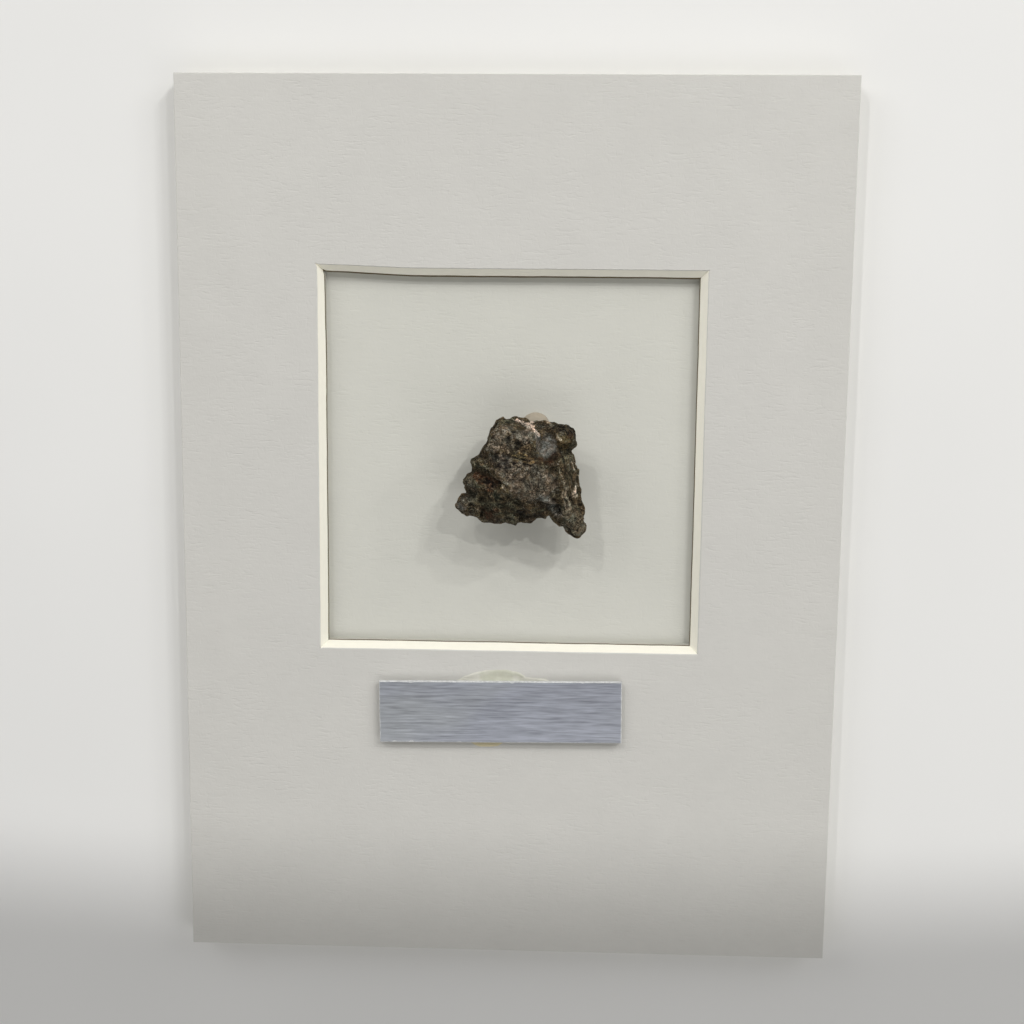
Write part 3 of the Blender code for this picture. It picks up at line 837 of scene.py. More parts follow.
@dataclass(frozen=True)
class StoneFinish:
    """The breccia: a brown-grey ground mass with grains and coloured zones, with painted shade in its cracks
    and hollows and painted highlight on its ridges.
    """

    name: str
    shade: Tint = Tint(37, 30, 18)
    ground: Tint = Tint(71, 62, 46)
    light: Tint = Tint(113, 107, 96)
    warm_stain: tuple[float, float, float, float] = (1.07, 0.98, 0.92, 1.0)
    cool_stain: tuple[float, float, float, float] = (0.93, 1.01, 1.03, 1.0)
    pores: Dots = Dots(0.34, 0.3, 0.4)
    crystals: Dots = Dots(0.41, 0.2, 1.7)
    lit: float = 1.0
    crumb_depth: float = -0.03
    grit_height: float = 0.08
    glint_gloss: float = 0.34
    calming: float = 0.8
    easing: float = 0.5

    def made(self) -> bpy.types.Material:
        """Makes the stone's material.

        Returns:
            The finished material.
        """
        finish = Finish(self.name, roughness=0.78, specular=0.1)
        graph = finish.graph
        place = graph.place()
        clouds = graph.noise(place, size=2.4, detail=4.0, warp=0.5)
        fine = graph.noise(place, size=0.5, detail=3.0)
        grain = graph.attribute("grain_tone")
        crumbs = graph.cells(place, 0.21)
        crumb_tone = graph.add("ShaderNodeSeparateColor", {0: crumbs.outputs["Color"]}).outputs[0]
        level = graph.calc("MULTIPLY", clouds, 0.62)
        level = graph.calc("ADD", level, graph.calc("MULTIPLY", grain, 0.26))
        level = graph.calc("ADD", level, graph.calc("MULTIPLY", crumb_tone, 0.28))
        dark, middle = self.shade.albedo(self.lit), self.ground.albedo(self.lit)
        colour = graph.mix(graph.span(level, 0.25, 0.62), dark, middle)
        colour = graph.mix(graph.span(level, 0.62, 0.95), colour, self.light.albedo(self.lit))
        for zone, tint, cover in ZONE_TINTS:
            mask = graph.attribute(zone.value)
            patchy = graph.span(fine, 0.3, 0.66, 0.35, 1.2)
            share = graph.calc("MULTIPLY", graph.calc("MULTIPLY", mask, patchy), cover, clamp=True)
            toned = graph.scaled(tint.albedo(self.lit), graph.span(level, 0.3, 0.9, 0.6, 1.45))
            colour = graph.mix(share, colour, toned)
        # Painted shade in the cracks and hollows and painted highlight on the ridges, set by the stone's
        # relief
        colour = self.relief_shade_and_highlight(graph, colour)
        glint = graph.span(crumb_tone, 0.86, 0.9)
        rough = graph.span(fine, 0.3, 0.7, 0.62, 0.86)
        rough = graph.calc("SUBTRACT", rough, graph.calc("MULTIPLY", glint, self.glint_gloss))
        grit = graph.noise(place, size=0.2, detail=3.0)
        speckle = graph.span(grit, 0.38, 0.62, 0.35, 1.72)
        speckle = graph.calc("MULTIPLY", speckle, self.pores.factor(graph, place))
        speckle = graph.calc("MULTIPLY", speckle, self.crystals.factor(graph, place))
        colour = graph.scaled(colour, self.eased(graph, place, speckle))
        stain = graph.span(graph.noise(place, size=1.1, detail=2.0, warp=0.6), 0.36, 0.64)
        stain = graph.mix(stain, self.warm_stain, self.cool_stain)
        colour = graph.mix(1.0, colour, stain, "MULTIPLY")
        swirl = graph.lines(graph.noise(place, size=0.8, detail=3.0, warp=1.6))
        thread = graph.lines(graph.noise(place, size=0.62, detail=3.0, warp=2.1), 0.47)
        colour = graph.scaled(colour, graph.span(swirl, 0.0, 0.05, 0.5, 1.06))
        colour = graph.scaled(colour, graph.span(thread, 0.0, 0.035, 1.5, 0.97))
        height = graph.calc("MULTIPLY", crumbs.outputs["Distance"], self.crumb_depth)
        height = graph.calc("ADD", height, graph.calc("MULTIPLY", grit, self.grit_height))
        return finish.close(colour, graph.bump(height), rough)

    def eased(self, graph: Graph, place: object, factor: object) -> bpy.types.NodeSocket:
        """Draws a factor nearer to 1 in the stone's calmer parts.

        Args:
            graph: the material's graph.
            place: the place's socket, in millimetres.
            factor: the factor's socket.

        Returns:
            The eased factor's socket.
        """
        busy = graph.span(graph.noise(place, size=1.7, detail=2.0, warp=0.5), 0.36, 0.62, 0.4, 1.1)
        smooth = graph.calc("MULTIPLY", graph.attribute(Zone.SMOOTH.value), self.easing)
        busy = graph.calc("MULTIPLY", busy, graph.calc("SUBTRACT", 1.0, smooth))
        return graph.about_one(graph.calc("SUBTRACT", factor, 1.0), busy)

    def relief_shade_and_highlight(self, graph: Graph, colour: object) -> bpy.types.NodeSocket:
        """Paints shade into the cracks between grains and into the hollows and paints highlight on the ridges
        and bulges, less of both in the smooth zones.

        Args:
            graph: the material's graph.
            colour: the colour so far.

        Returns:
            The weathered colour's socket.
        """
        crack_shade = graph.span(graph.attribute("grain_gap"), 0.02, 0.16, 0.8, 1.0)
        fine_relief = graph.span(graph.attribute("relief_fine"), -1.0, 1.0, 0.5, 1.5)
        mid_relief = graph.span(graph.attribute("relief_mid"), -1.0, 1.0, 0.84, 1.12)
        broad_relief = graph.span(graph.attribute("relief_broad"), -1.0, 1.0, 0.72, 1.24)
        factor = graph.calc("MULTIPLY", graph.calc("MULTIPLY", crack_shade, fine_relief), broad_relief)
        factor = graph.calc("MULTIPLY", factor, mid_relief)
        calm = graph.calc("MULTIPLY", graph.attribute(Zone.SMOOTH.value), self.calming)
        factor = graph.calc("MULTIPLY", factor, graph.calc("SUBTRACT", 1.0, calm))
        factor = graph.calc("ADD", factor, calm)
        return graph.scaled(colour, factor)


def put_in_scene(mesh: bpy.types.Mesh, name: str) -> bpy.types.Object:
    """Makes an object of a mesh and puts it in the scene.

    Args:
        mesh: the mesh.
        name: the object's name.

    Returns:
        The object.
    """
    piece = bpy.data.objects.new(name, mesh)
    bpy.context.scene.collection.objects.link(piece)
    return piece


def keep_value(mesh: bpy.types.Mesh, name: str, values: Sequence[float] | np.ndarray) -> None:
    """Keeps one value at each point of a mesh for its material.

    Args:
        mesh: the mesh.
        name: the name under which the material reads it.
        values: one number a point.
    """
    kept = mesh.attributes.new(name, "FLOAT", "POINT")
    kept.data.foreach_set("value", np.asarray(values, dtype=np.float32))


def smooth(mesh: bpy.types.Mesh) -> None:
    """Shades a mesh smoothly."""
    mesh.polygons.foreach_set("use_smooth", [True] * len(mesh.polygons))


@dataclass
class Shell:
    """A surface as bare numbers: its points in millimetres, its edges and its normals."""

    points: np.ndarray
    edges: np.ndarray
    normals: np.ndarray

    @staticmethod
    def of(mesh: bpy.types.Mesh) -> "Shell":
        """Reads a mesh.

        Args:
            mesh: the mesh.

        Returns:
            Its numbers.
        """
        points = np.empty(len(mesh.vertices) * 3)
        normals = np.empty(len(mesh.vertices) * 3)
        edges = np.empty(len(mesh.edges) * 2, dtype=np.int64)
        mesh.vertices.foreach_get("co", points)
        mesh.vertices.foreach_get("normal", normals)
        mesh.edges.foreach_get("vertices", edges)
        return Shell(points.reshape(-1, 3), edges.reshape(-1, 2), normals.reshape(-1, 3))

    def relaxed(self, values: np.ndarray, rounds: int) -> np.ndarray:
        """Evens out values over the surface.

        Args:
            values: one row a point.
            rounds: how many times each point moves half way to its neighbours.

        Returns:
            The evened values.
        """
        first, second = self.edges[:, 0], self.edges[:, 1]
        count = len(values)
        degree = np.maximum(np.bincount(self.edges.ravel(), minlength=count), 1)[:, None]
        for _ in range(rounds):
            total = np.empty_like(values)
            for axis in range(values.shape[1]):
                total[:, axis] = np.bincount(first, values[second, axis], count)
                total[:, axis] += np.bincount(second, values[first, axis], count)
            values = values + 0.5 * (total / degree - values)
        return values


@dataclass
class Meteorite:
    """The stone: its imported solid, made finer and given its grains, ribs and colours."""

    centre: Vector = field(default_factory=lambda: Vector((1.8, 9.2, 1.5)))
    voxel: float = 0.118
    grain: float = 0.45
    lump: float = 1.15
    grain_height: float = 0.026
    lump_height: float = 0.066
    crag_height: float = 0.062
    pit_depth: float = 0.2
    rib_height: float = 0.125
    crumble_height: float = 0.035
    ledge_height: float = 0.1
    cream_height: float = 0.05
    vein_height: float = 0.06
    dark_depth: float = 0.1
    pitted_lumps: float = 0.13
    calming: float = 0.8
    lump_bend: float = 0.25
    zone_bend: float = 0.22
    zone_inside: float = 0.55
    zone_outside: float = 1.25
    aim_height: float = 8.5
    # Scales of the fine, mid and broad relief that set the stone's painted shade and painted highlight
    relief: tuple[float, float, float] = (0.04, 0.1, 0.35)
    toe: tuple[float, float] = (8.5, -8.5)
    toe_height: float = 0.3
    toe_reach: float = 1.1
    foot_low: float = 1.3
    foot_high: float = 2.4

    def build(self, eye: Vector) -> bpy.types.Object:
        """Builds the stone.

        Args:
            eye: where the camera stands, in metres; the patches are laid as seen from there.

        Returns:
            The stone's object.
        """
        mesh = self.refined()
        shell = Shell.of(mesh)
        shell.points = shell.relaxed(shell.points, 2)
        zones = self.zones(mesh, shell, eye)
        grains = Grains.sown(shell.points, self.grain, Seed.GRAINS)
        self.displace(shell, zones, grains)
        mesh.vertices.foreach_set("co", shell.points.ravel())
        mesh.update()
        self.keep_values(mesh, zones, grains)
        place = Matrix.Translation(self.centre * MM) @ Matrix.Scale(MM, 4)
        mesh.transform(place)
        smooth(mesh)
        piece = put_in_scene(mesh, "meteorite_stone")
        mesh.materials.clear()
        mesh.materials.append(StoneFinish("lunar_breccia_stone").made())
        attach(piece, BODY)
        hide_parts("meteorite")
        return piece

    def refined(self) -> bpy.types.Mesh:
        """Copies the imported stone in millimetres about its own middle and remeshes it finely.

        Returns:
            The fine mesh.
        """
        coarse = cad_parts["meteorite"].data.copy()
        coarse.transform(Matrix.Translation(-self.centre) @ Matrix.Scale(1.0 / MM, 4))
        helper = put_in_scene(coarse, "stone_helper")
        remesh = helper.modifiers.new("fine", "REMESH")
        remesh.mode = "VOXEL"
        remesh.voxel_size = self.voxel
        seen = helper.evaluated_get(bpy.context.evaluated_depsgraph_get())
        mesh = bpy.data.meshes.new_from_object(seen)
        mesh.name = "meteorite_stone"
        bpy.data.objects.remove(helper)
        bpy.data.meshes.remove(coarse)
        return mesh

    def zones(self, mesh: bpy.types.Mesh, shell: Shell, eye: Vector) -> dict[Zone, np.ndarray]:
        """Lays every patch on the surface that the camera sees.

        Args:
            mesh: the fine mesh.
            shell: its numbers.
            eye: where the camera stands, in metres.

        Returns:
            For each zone, how strongly it shows at each point.
        """
        points = shell.points
        bender = [
            drift(points, 0.9, Seed.ZONE_BEND + axis) + 0.5 * drift(points, 0.35, Seed.ZONE_RIPPLE + axis)
            for axis in range(3)
        ]
        bent = points + self.zone_bend * np.stack(bender, axis=1)
        surface = bmesh.new()
        surface.from_mesh(mesh)
        tree = BVHTree.FromBMesh(surface)
        surface.free()
        camera = eye / MM - self.centre
        masks = {zone: np.zeros(len(points)) for zone in Zone}
        for patch in PATCHES:
            path = []
            for x, y in patch.path:
                target = Vector((x, y, self.aim_height))
                hit = tree.ray_cast(camera, (target - camera).normalized())[0]
                path.append(np.array(hit if hit is not None else tree.find_nearest(target)[0]))
            away = self.distance(bent, path)
            inside, outside = self.zone_inside * patch.reach, self.zone_outside * patch.reach
            strength = patch.strength * (1.0 - ease(away, inside, outside))
            masks[patch.zone] = np.maximum(masks[patch.zone], strength)
        return masks

    @staticmethod
    def distance(points: np.ndarray, path: list[np.ndarray]) -> np.ndarray:
        """Measures how far each point lies from a path.

        Args:
            points: one row a point.
            path: the path's corners.

        Returns:
            One distance a point.
        """
        nearest = np.linalg.norm(points - path[0], axis=1)
        for start, end in zip(path, path[1:]):
            along = end - start
            share = np.clip((points - start) @ along / max(float(along @ along), SAME), 0.0, 1.0)
            nearest = np.minimum(nearest, np.linalg.norm(points - start - share[:, None] * along, axis=1))
        return nearest

    def displace(self, shell: Shell, zones: dict[Zone, np.ndarray], grains: Grains) -> None:
        """Gives the surface its grains, lumps, pits, ribs and ledges.

        Args:
            shell: the fine surface; its points are moved.
            zones: how strongly each zone shows at each point.
            grains: the small grains.
        """
        points = shell.points
        calm = 1.0 - self.calming * zones[Zone.SMOOTH]
        ribs = zones[Zone.RIBS]
        rough_parts = np.clip(drift(points, 3.0, Seed.RUGGED, 2), -1, 1)
        rugged = calm * (1.0 - 0.5 * ribs) * (0.85 + 0.35 * rough_parts)
        bends = [drift(points, 0.7, Seed.LUMP_BEND + axis) for axis in range(3)]
        bent = points + self.lump_bend * np.stack(bends, axis=1)
        height = self.grain_height * rugged * 1.6 * grains.facet
        lumps = Grains.sown(bent, self.lump, Seed.LUMPS)
        height += self.lump_height * rugged * 1.1 * lumps.facet * ease(lumps.gap, -0.05, 0.25)
        crag = 1.0 - 2.0 * np.abs(drift(bent, 1.5, Seed.CRAGS))
        crag = crag - 0.6 * np.abs(drift(bent, 0.6, Seed.FINE_CRAGS))
        height += self.crag_height * rugged * 0.6 * crag
        height += self.crumble_height * rugged * drift(points, 0.42, Seed.CRUMBLE, 2)
        toe = np.linalg.norm(points[:, :2] - np.array(self.toe), axis=1)
        height += self.toe_height * np.exp(-((toe / self.toe_reach) ** 2))
        pitted = (lumps.tone < self.pitted_lumps).astype(float) * (1.0 - ease(lumps.near, 0.1, 0.5))
        height -= self.pit_depth * pitted * calm
        across = points[:, 0] + 0.4 * points[:, 1] + 0.3 * drift(points, 1.6, Seed.RIB_PATH)
        along = np.column_stack([across / 0.34, points[:, 1] / 3.0, points[:, 2] / 3.0])
        height += self.rib_height * ribs * drift(along, 1.0, Seed.RIB_WAVES, 2)
        height += self.ledge_height * zones[Zone.OCHRE] * (0.6 + 0.4 * drift(points, 0.5, Seed.LEDGES))
        height += self.cream_height * zones[Zone.CREAM] + self.vein_height * zones[Zone.VEIN]
        height -= self.dark_depth * zones[Zone.DARK]
        foot = ease(points[:, 2], self.foot_low, self.foot_high)
        normals = shell.relaxed(shell.normals, 2)
        normals /= np.maximum(np.linalg.norm(normals, axis=1), SAME)[:, None]
        shell.points = points + normals * (height * foot)[:, None]

    def keep_values(self, mesh: bpy.types.Mesh, zones: dict[Zone, np.ndarray], grains: Grains) -> None:
        """Keeps the zones, grain tones and relief in the mesh for its material, where the relief and the
        grain gaps set painted shade and painted highlight.

        Args:
            mesh: the finished fine mesh.
            zones: how strongly each zone shows at each point.
            grains: the small grains.
        """
        shell = Shell.of(mesh)
        near = shell.relaxed(shell.points, 5)
        middle = shell.relaxed(near, 24)
        broad = shell.relaxed(middle, 150)
        values = {zone.value: mask for zone, mask in zones.items()}
        out = shell.relaxed(shell.normals, 6)
        fine_relief, mid_relief, broad_relief = self.relief
        # Above the smoothed surface the stone is painted paler as highlight, below it darker as painted shade
        values["relief_fine"] = np.sum((shell.points - near) * shell.normals, axis=1) / fine_relief
        values["relief_mid"] = np.sum((near - middle) * out, axis=1) / mid_relief
        values["relief_broad"] = np.sum((middle - broad) * out, axis=1) / broad_relief
        values["grain_tone"] = grains.tone
        values["grain_gap"] = grains.gap
        for name, value in values.items():
            keep_value(mesh, name, value)


@dataclass
class AdhesiveDab:
    """The beige dab under the stone, closed down to the card and up to the stone."""

    sink: float = 0.29
    wrinkle: float = 0.05
    wrinkle_width: float = 0.8
    thickness: float = 0.3

    def build(self) -> bpy.types.Object:
        """Builds the dab.

        Returns:
            The dab's object.
        """
        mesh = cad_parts["adhesive_dab"].data.copy()
        mesh.name = "stone_adhesive"
        low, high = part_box("adhesive_dab")
        work = bmesh.new()
        work.from_mesh(mesh)
        bmesh.ops.subdivide_edges(work, edges=work.edges, cuts=1, use_grid_fill=True)
        points = np.array([vert.co for vert in work.verts]) / MM
        ripple = drift(points, self.wrinkle_width, Seed.DAB, 2)
        middle = (low.z + high.z) / 2.0
        for vert, wave in zip(work.verts, ripple):
            share = min(max((vert.co.z - low.z) / (high.z - low.z), 0.0), 1.0)
            side = 4.0 * share * (1.0 - share)
            outward = -1.0 if vert.co.z < middle else 1.0
            vert.co.z += self.sink * MM * outward * abs(2.0 * share - 1.0)
            vert.co += vert.normal * wave * self.wrinkle * MM * side
        work.to_mesh(mesh)
        work.free()
        keep_value(mesh, "thick", [self.thickness] * len(mesh.vertices))
        smooth(mesh)
        mesh.materials.clear()
        finish = GlueFinish(
            "stone_adhesive", Tint(158, 148, 131), Tint(151, 140, 121), Tint(146, 133, 112), 0.55
        )
        mesh.materials.append(finish.made())
        piece = put_in_scene(mesh, "stone_adhesive")
        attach(piece, BODY)
        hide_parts("adhesive_dab")
        return piece


@dataclass(frozen=True)
class Box:
    """A level rectangle in millimetres."""

    left: float
    right: float
    bottom: float
    top: float

    def grown(self, by: float) -> "Box":
        """Moves all four sides out by that much."""
        return Box(self.left - by, self.right + by, self.bottom - by, self.top + by)

    def loop(self, shares: Sequence[float]) -> np.ndarray:
        """Walks round the rectangle from its lower left corner, against the clock.

        Args:
            shares: where the points of each side lie, from 0 up to but not at 1.

        Returns:
            The points, one row each.
        """
        left, right, bottom, top = self.left, self.right, self.bottom, self.top
        corners = np.array([(left, bottom), (right, bottom), (right, top), (left, top)])
        part = np.array(shares)[:, None]
        sides = [corners[i] + part * (corners[(i + 1) % 4] - corners[i]) for i in range(4)]
        return np.concatenate(sides)


def side_shares(count: int, near_corner: Sequence[float]) -> list[float]:
    """Spreads points along a side, with extra ones near its two corners.

    Args:
        count: how many even steps the side has.
        near_corner: the extra points' shares of the side, from the corner.

    Returns:
        Shares from 0 up to but not at 1.
    """
    even = [step / count for step in range(1, count)]
    extra = list(near_corner) + [1.0 - share for share in near_corner]
    kept = [share for share in even if near_corner[-1] < share < 1.0 - near_corner[-1]]
    return sorted([0.0] + extra + kept)


def ring_mesh(name: str, rows: Sequence[np.ndarray], slots: Sequence[int], closed: bool) -> bpy.types.Mesh:
    """Joins rows of points into one skin.

    Args:
        name: the mesh's name.
        rows: loops of points, each with the same count.
        slots: the material slot of the band after each row.
        closed: joins the last row to the first.

    Returns:
        The mesh, in metres.
    """
    count = len(rows[0])
    points = np.concatenate(rows) * MM
    bands = len(rows) if closed else len(rows) - 1
    faces = []
    used = []
    for band in range(bands):
        here, there = band * count, ((band + 1) % len(rows)) * count
        for step in range(count):
            after = (step + 1) % count
            faces.append((here + step, here + after, there + after, there + step))
            used.append(slots[band])
    mesh = bpy.data.meshes.new(name)
    mesh.from_pydata([tuple(point) for point in points], [], faces)
    mesh.polygons.foreach_set("material_index", used)
    mesh.update()
    return mesh


class Layer(Enum):
    """A layer of the mat, by its material slot."""

    FACE = 0
    CORE = 1
    BACK = 2
    # Not a real layer: a dark line painted as shade at the back edge of the bevel
    PAINTED_SHADE_LINE = 3


@dataclass
class WindowMat:
    """The mat: its papers, its cream core and its hand-cut bevelled window."""

    window: Box = Box(-30.0, 30.0, -19.3, 40.7)
    back_height: float = 2.7
    face_height: float = 4.0
    bevel: float = 1.3
    rounding: float = 0.12
    lip: float = 0.06
    waviness: float = 0.035
    corner_lift: float = 0.45
    corner_reach: float = 16.0
    left_shift: float = 0.16
    face_paper: float = 0.14
    # How far up the bevel the painted shade line reaches
    shade_line_depth: float = 0.14
    burr: float = 0.03
    corner_cuts: tuple[float, float, float, float] = (0.05, 0.05, 0.1, 0.2)
    corner_widening: float = 0.15
    left_widening: float = 0.22
    shade_line_top_rise: float = 0.09
    knife_wander: float = 0.012
    back_paper: float = 0.12
    side_steps: int = 180
    side_extras: tuple[float, ...] = (0.0009, 0.002, 0.004, 0.007)
    face_rows: tuple[float, ...] = (0.25, 0.5, 0.75, 0.93)

    def build(self) -> bpy.types.Object:
        """Builds the mat.

        Returns:
            The mat's object.
        """
        low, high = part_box("window_mat")
        outer = Box(low.x / MM, high.x / MM, low.y / MM, high.y / MM)
        shares = side_shares(self.side_steps, self.side_extras)
        rows: list[np.ndarray] = []
        slots: list[int] = []
        for inset, height, layer in self.outer_profile():
            rows.append(self.raised(outer.grown(-inset).loop(shares), height))
            slots.append(layer.value)
        for share in self.face_rows:
            level = outer.grown(-self.rounding).loop(shares)
            inner = self.window.grown(self.lip).loop(shares)
            rows.append(self.raised(level + share * (inner - level), self.face_height))
            slots.append(Layer.FACE.value)
        for inset, height, layer in self.bevel_profile():
            rows.append(self.cut_row(shares, inset, height))
            slots.append(layer.value)
        mesh = ring_mesh("window_mat_board", rows, slots, True)
        for finish in self.finishes():
            mesh.materials.append(finish)
        piece = put_in_scene(mesh, "window_mat_board")
        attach(piece, BODY)
        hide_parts("window_mat")
        return piece

    @staticmethod
    def finishes() -> list[bpy.types.Material]:
        """Makes the mat's materials.

        Returns:
            The face, core, back and rim materials.
        """
        face = PaperFinish("mat_face_paper", Tint(199, 197, 191), 0.02, 0.02, 0.07)
        core = CutCoreFinish("mat_core", Tint(252, 248, 233))
        back = PaperFinish("mat_back_paper", Tint(205, 202, 192), 0.02, 0.05, 0.05)
        # Painted shade: a dark brown line where the mat's cut edge shades the card
        rim = PaperFinish("mat_painted_shade_line", Tint(98, 88, 68), 0.02, 0.05, 0.1, 0.0)
        return [face.made(), core.made(), back.made(), rim.made()]

    def outer_profile(self) -> list[tuple[float, float, Layer]]:
        """Gives the mat's outer side from back to face.

        Returns:
            Each row's inset, its height and the layer above it.
        """
        low, high, soft = self.back_height, self.face_height, self.rounding
        return [
            (0.05, low, Layer.BACK),
            (0.0, low + 0.05, Layer.BACK),
            (0.0, low + self.back_paper, Layer.CORE),
            (0.0, high - self.face_paper, Layer.FACE),
            (0.0, high - soft, Layer.FACE),
            (0.3 * soft, high - 0.3 * soft, Layer.FACE),
            (soft, high, Layer.FACE),
        ]

    def bevel_profile(self) -> list[tuple[float, float, Layer]]:
        """Gives the window's cut from face to back.

        Returns:
            Each row's inset, its height and the layer below it.
        """
        low, high = self.back_height, self.face_height
        return [
            (-self.lip, high, Layer.FACE),
            (-0.2 * self.lip, high - 0.012, Layer.FACE),
            (0.1, high - 0.1, Layer.CORE),
            (0.4, high - 0.4, Layer.CORE),
            (0.75, high - 0.75, Layer.CORE),
            (1.0, high - 1.0, Layer.CORE),
            (self.bevel - self.shade_line_depth, low + self.shade_line_depth, Layer.PAINTED_SHADE_LINE),
            (self.bevel - 0.04, low + 0.04, Layer.PAINTED_SHADE_LINE),
            (self.bevel - 0.01, low, Layer.BACK),
        ]

    @staticmethod
    def raised(flat: np.ndarray, height: float) -> np.ndarray:
        """Gives flat points a height."""
        return np.column_stack([flat, np.full(len(flat), height)])

    def cut_row(self, shares: Sequence[float], inset: float, height: float) -> np.ndarray:
        """Makes one row of the hand-cut bevel.

        Args:
            shares: where the points of each side lie.
            inset: how far inside the window's face edge the row lies.
            height: its height.

        Returns:
            The row's points.
        """
        opening = self.window
        row = self.raised(opening.grown(-inset).loop(shares), height)
        centre = np.array([(opening.left + opening.right) / 2, (opening.bottom + opening.top) / 2])
        half = opening.right - centre[0] - inset
        outward = np.sign(np.round((row[:, :2] - centre) / half, 6))
        outward = outward * (np.abs(row[:, :2] - centre) > half - SAME)
        side = np.repeat(np.arange(4), len(shares)) * 40.0
        seat = np.column_stack([row[:, :2], side])
        wave = drift(seat, 9.0, Seed.WINDOW_WAVE) + 0.6 * drift(seat, 2.5, Seed.WINDOW_RIPPLE)
        seat = np.column_stack([row[:, :2], side + height * 6.0])
        knife = self.knife_wander * drift(seat, 1.2, Seed.KNIFE)
        row[:, :2] += outward * (self.waviness * wave + knife)[:, None]
        near_left = 1.0 - ease(row[:, 0] - self.window.left, 0.0, self.corner_reach)
        near_top = 1.0 - ease(self.window.top - row[:, 1], 0.0, self.corner_reach)
        deeper = max(inset, 0.0) / self.bevel
        lift = self.corner_lift + self.corner_widening * deeper
        row[:, 1] += np.maximum(outward[:, 1], 0.0) * near_left * lift
        shift = self.left_shift + self.left_widening * deeper * near_top
        row[:, 0] += np.minimum(outward[:, 0], 0.0) * shift
        corners = np.isin(np.arange(len(row)), [index * len(shares) for index in range(4)])
        row[corners, :2] += outward[corners] * np.array(self.corner_cuts)[:, None]
        # The painted shade line is widened along the window's top side, where the shadow falls
        if abs(inset - self.bevel + self.shade_line_depth) < SAME:
            row[:, 1:] += self.shade_line_top_rise * np.maximum(outward[:, 1:2], 0.0)
        if -self.lip < inset < 0.0:
            row[:, 2] += self.burr * np.maximum(outward[:, 1], 0.0)
        return row


@dataclass
class Boards:
    """The card behind the stone and the hidden strips between it and the mat."""

    card_top: float = 1.5
    mat_back: float = 2.7
    edge: float = 0.12
    gap: float = 0.01
    wander: float = 0.02
    reach: float = 0.135
    top_tuck: float = -0.5
    bottom_tuck: float = 0.3
    right_tuck: float = 0.3
    side_steps: int = 40
    side_extras: tuple[float, ...] = (0.004,)

    def dress_card(self) -> bpy.types.Object:
        """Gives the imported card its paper.

        Returns:
            The card's object.
        """
        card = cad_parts["backing_board"]
        finish = PaperFinish("card_paper", Tint(201, 200, 191), 0.016, 0.018, 0.06).made()
        for slot in card.material_slots:
            slot.material = finish
        return card

    def build_strips(self) -> list[bpy.types.Object]:
        """Builds the four strips, closed up to the card, the mat and each other.

        Returns:
            The strips' objects.
        """
        finish = PaperFinish("strip_board", Tint(180, 178, 168), 0.02, 0.08, 0.08).made()
        strips = []
        for side in ("top", "bottom", "left", "right"):
            low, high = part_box(f"spacer_{side}")
            left, right, bottom, top = low.x / MM, high.x / MM, low.y / MM, high.y / MM
            if side == "top":
                bottom -= self.reach + self.top_tuck
            elif side == "bottom":
                top += self.reach + self.bottom_tuck
            else:
                bottom -= self.reach - self.bottom_tuck
                top += self.reach - self.top_tuck
                left -= self.right_tuck if side == "right" else 0.0
            box = Box(left, right, bottom, top)
            strips.append(self.strip(side, box, finish))
        return strips

    def strip(self, side: str, box: Box, finish: bpy.types.Material) -> bpy.types.Object:
        """Builds one strip as a thin board with softened, slightly wavy cut edges.

        Args:
            side: which side of the window it lies on.
            box: its rectangle in millimetres.
            finish: its material.

        Returns:
            The strip's object.
        """
        shares = side_shares(self.side_steps, self.side_extras)
        low, high, soft = self.card_top + self.gap, self.mat_back - self.gap, self.edge
        middle = (low + high) / 2
        profile = [(soft, low), (0.0, low + soft), (0.0, middle), (0.0, high - soft), (soft, high)]
        rows = []
        for inset, height in profile:
            row = WindowMat.raised(box.grown(-inset).loop(shares), height)
            drawn = np.abs(drift(row, 3.0, Seed.STRIP_EDGE))
            row[:, :2] -= self.wander * drawn[:, None] * np.sign(row[:, :2])
            rows.append(row)
        mesh = ring_mesh(f"strip_{side}", rows, [0] * len(rows), False)
        work = bmesh.new()
        work.from_mesh(mesh)
        bmesh.ops.holes_fill(work, edges=[edge for edge in work.edges if edge.is_boundary])
        bmesh.ops.recalc_face_normals(work, faces=work.faces)
        work.to_mesh(mesh)
        work.free()
        mesh.materials.append(finish)
        piece = put_in_scene(mesh, f"strip_{side}")
        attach(piece, BODY)
        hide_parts(f"spacer_{side}")
        return piece


@dataclass(frozen=True)
class Chip:
    """A small chip in the label's edge, by its share of the way round a side."""

    side: int
    share: float
    width: float
    depth: float


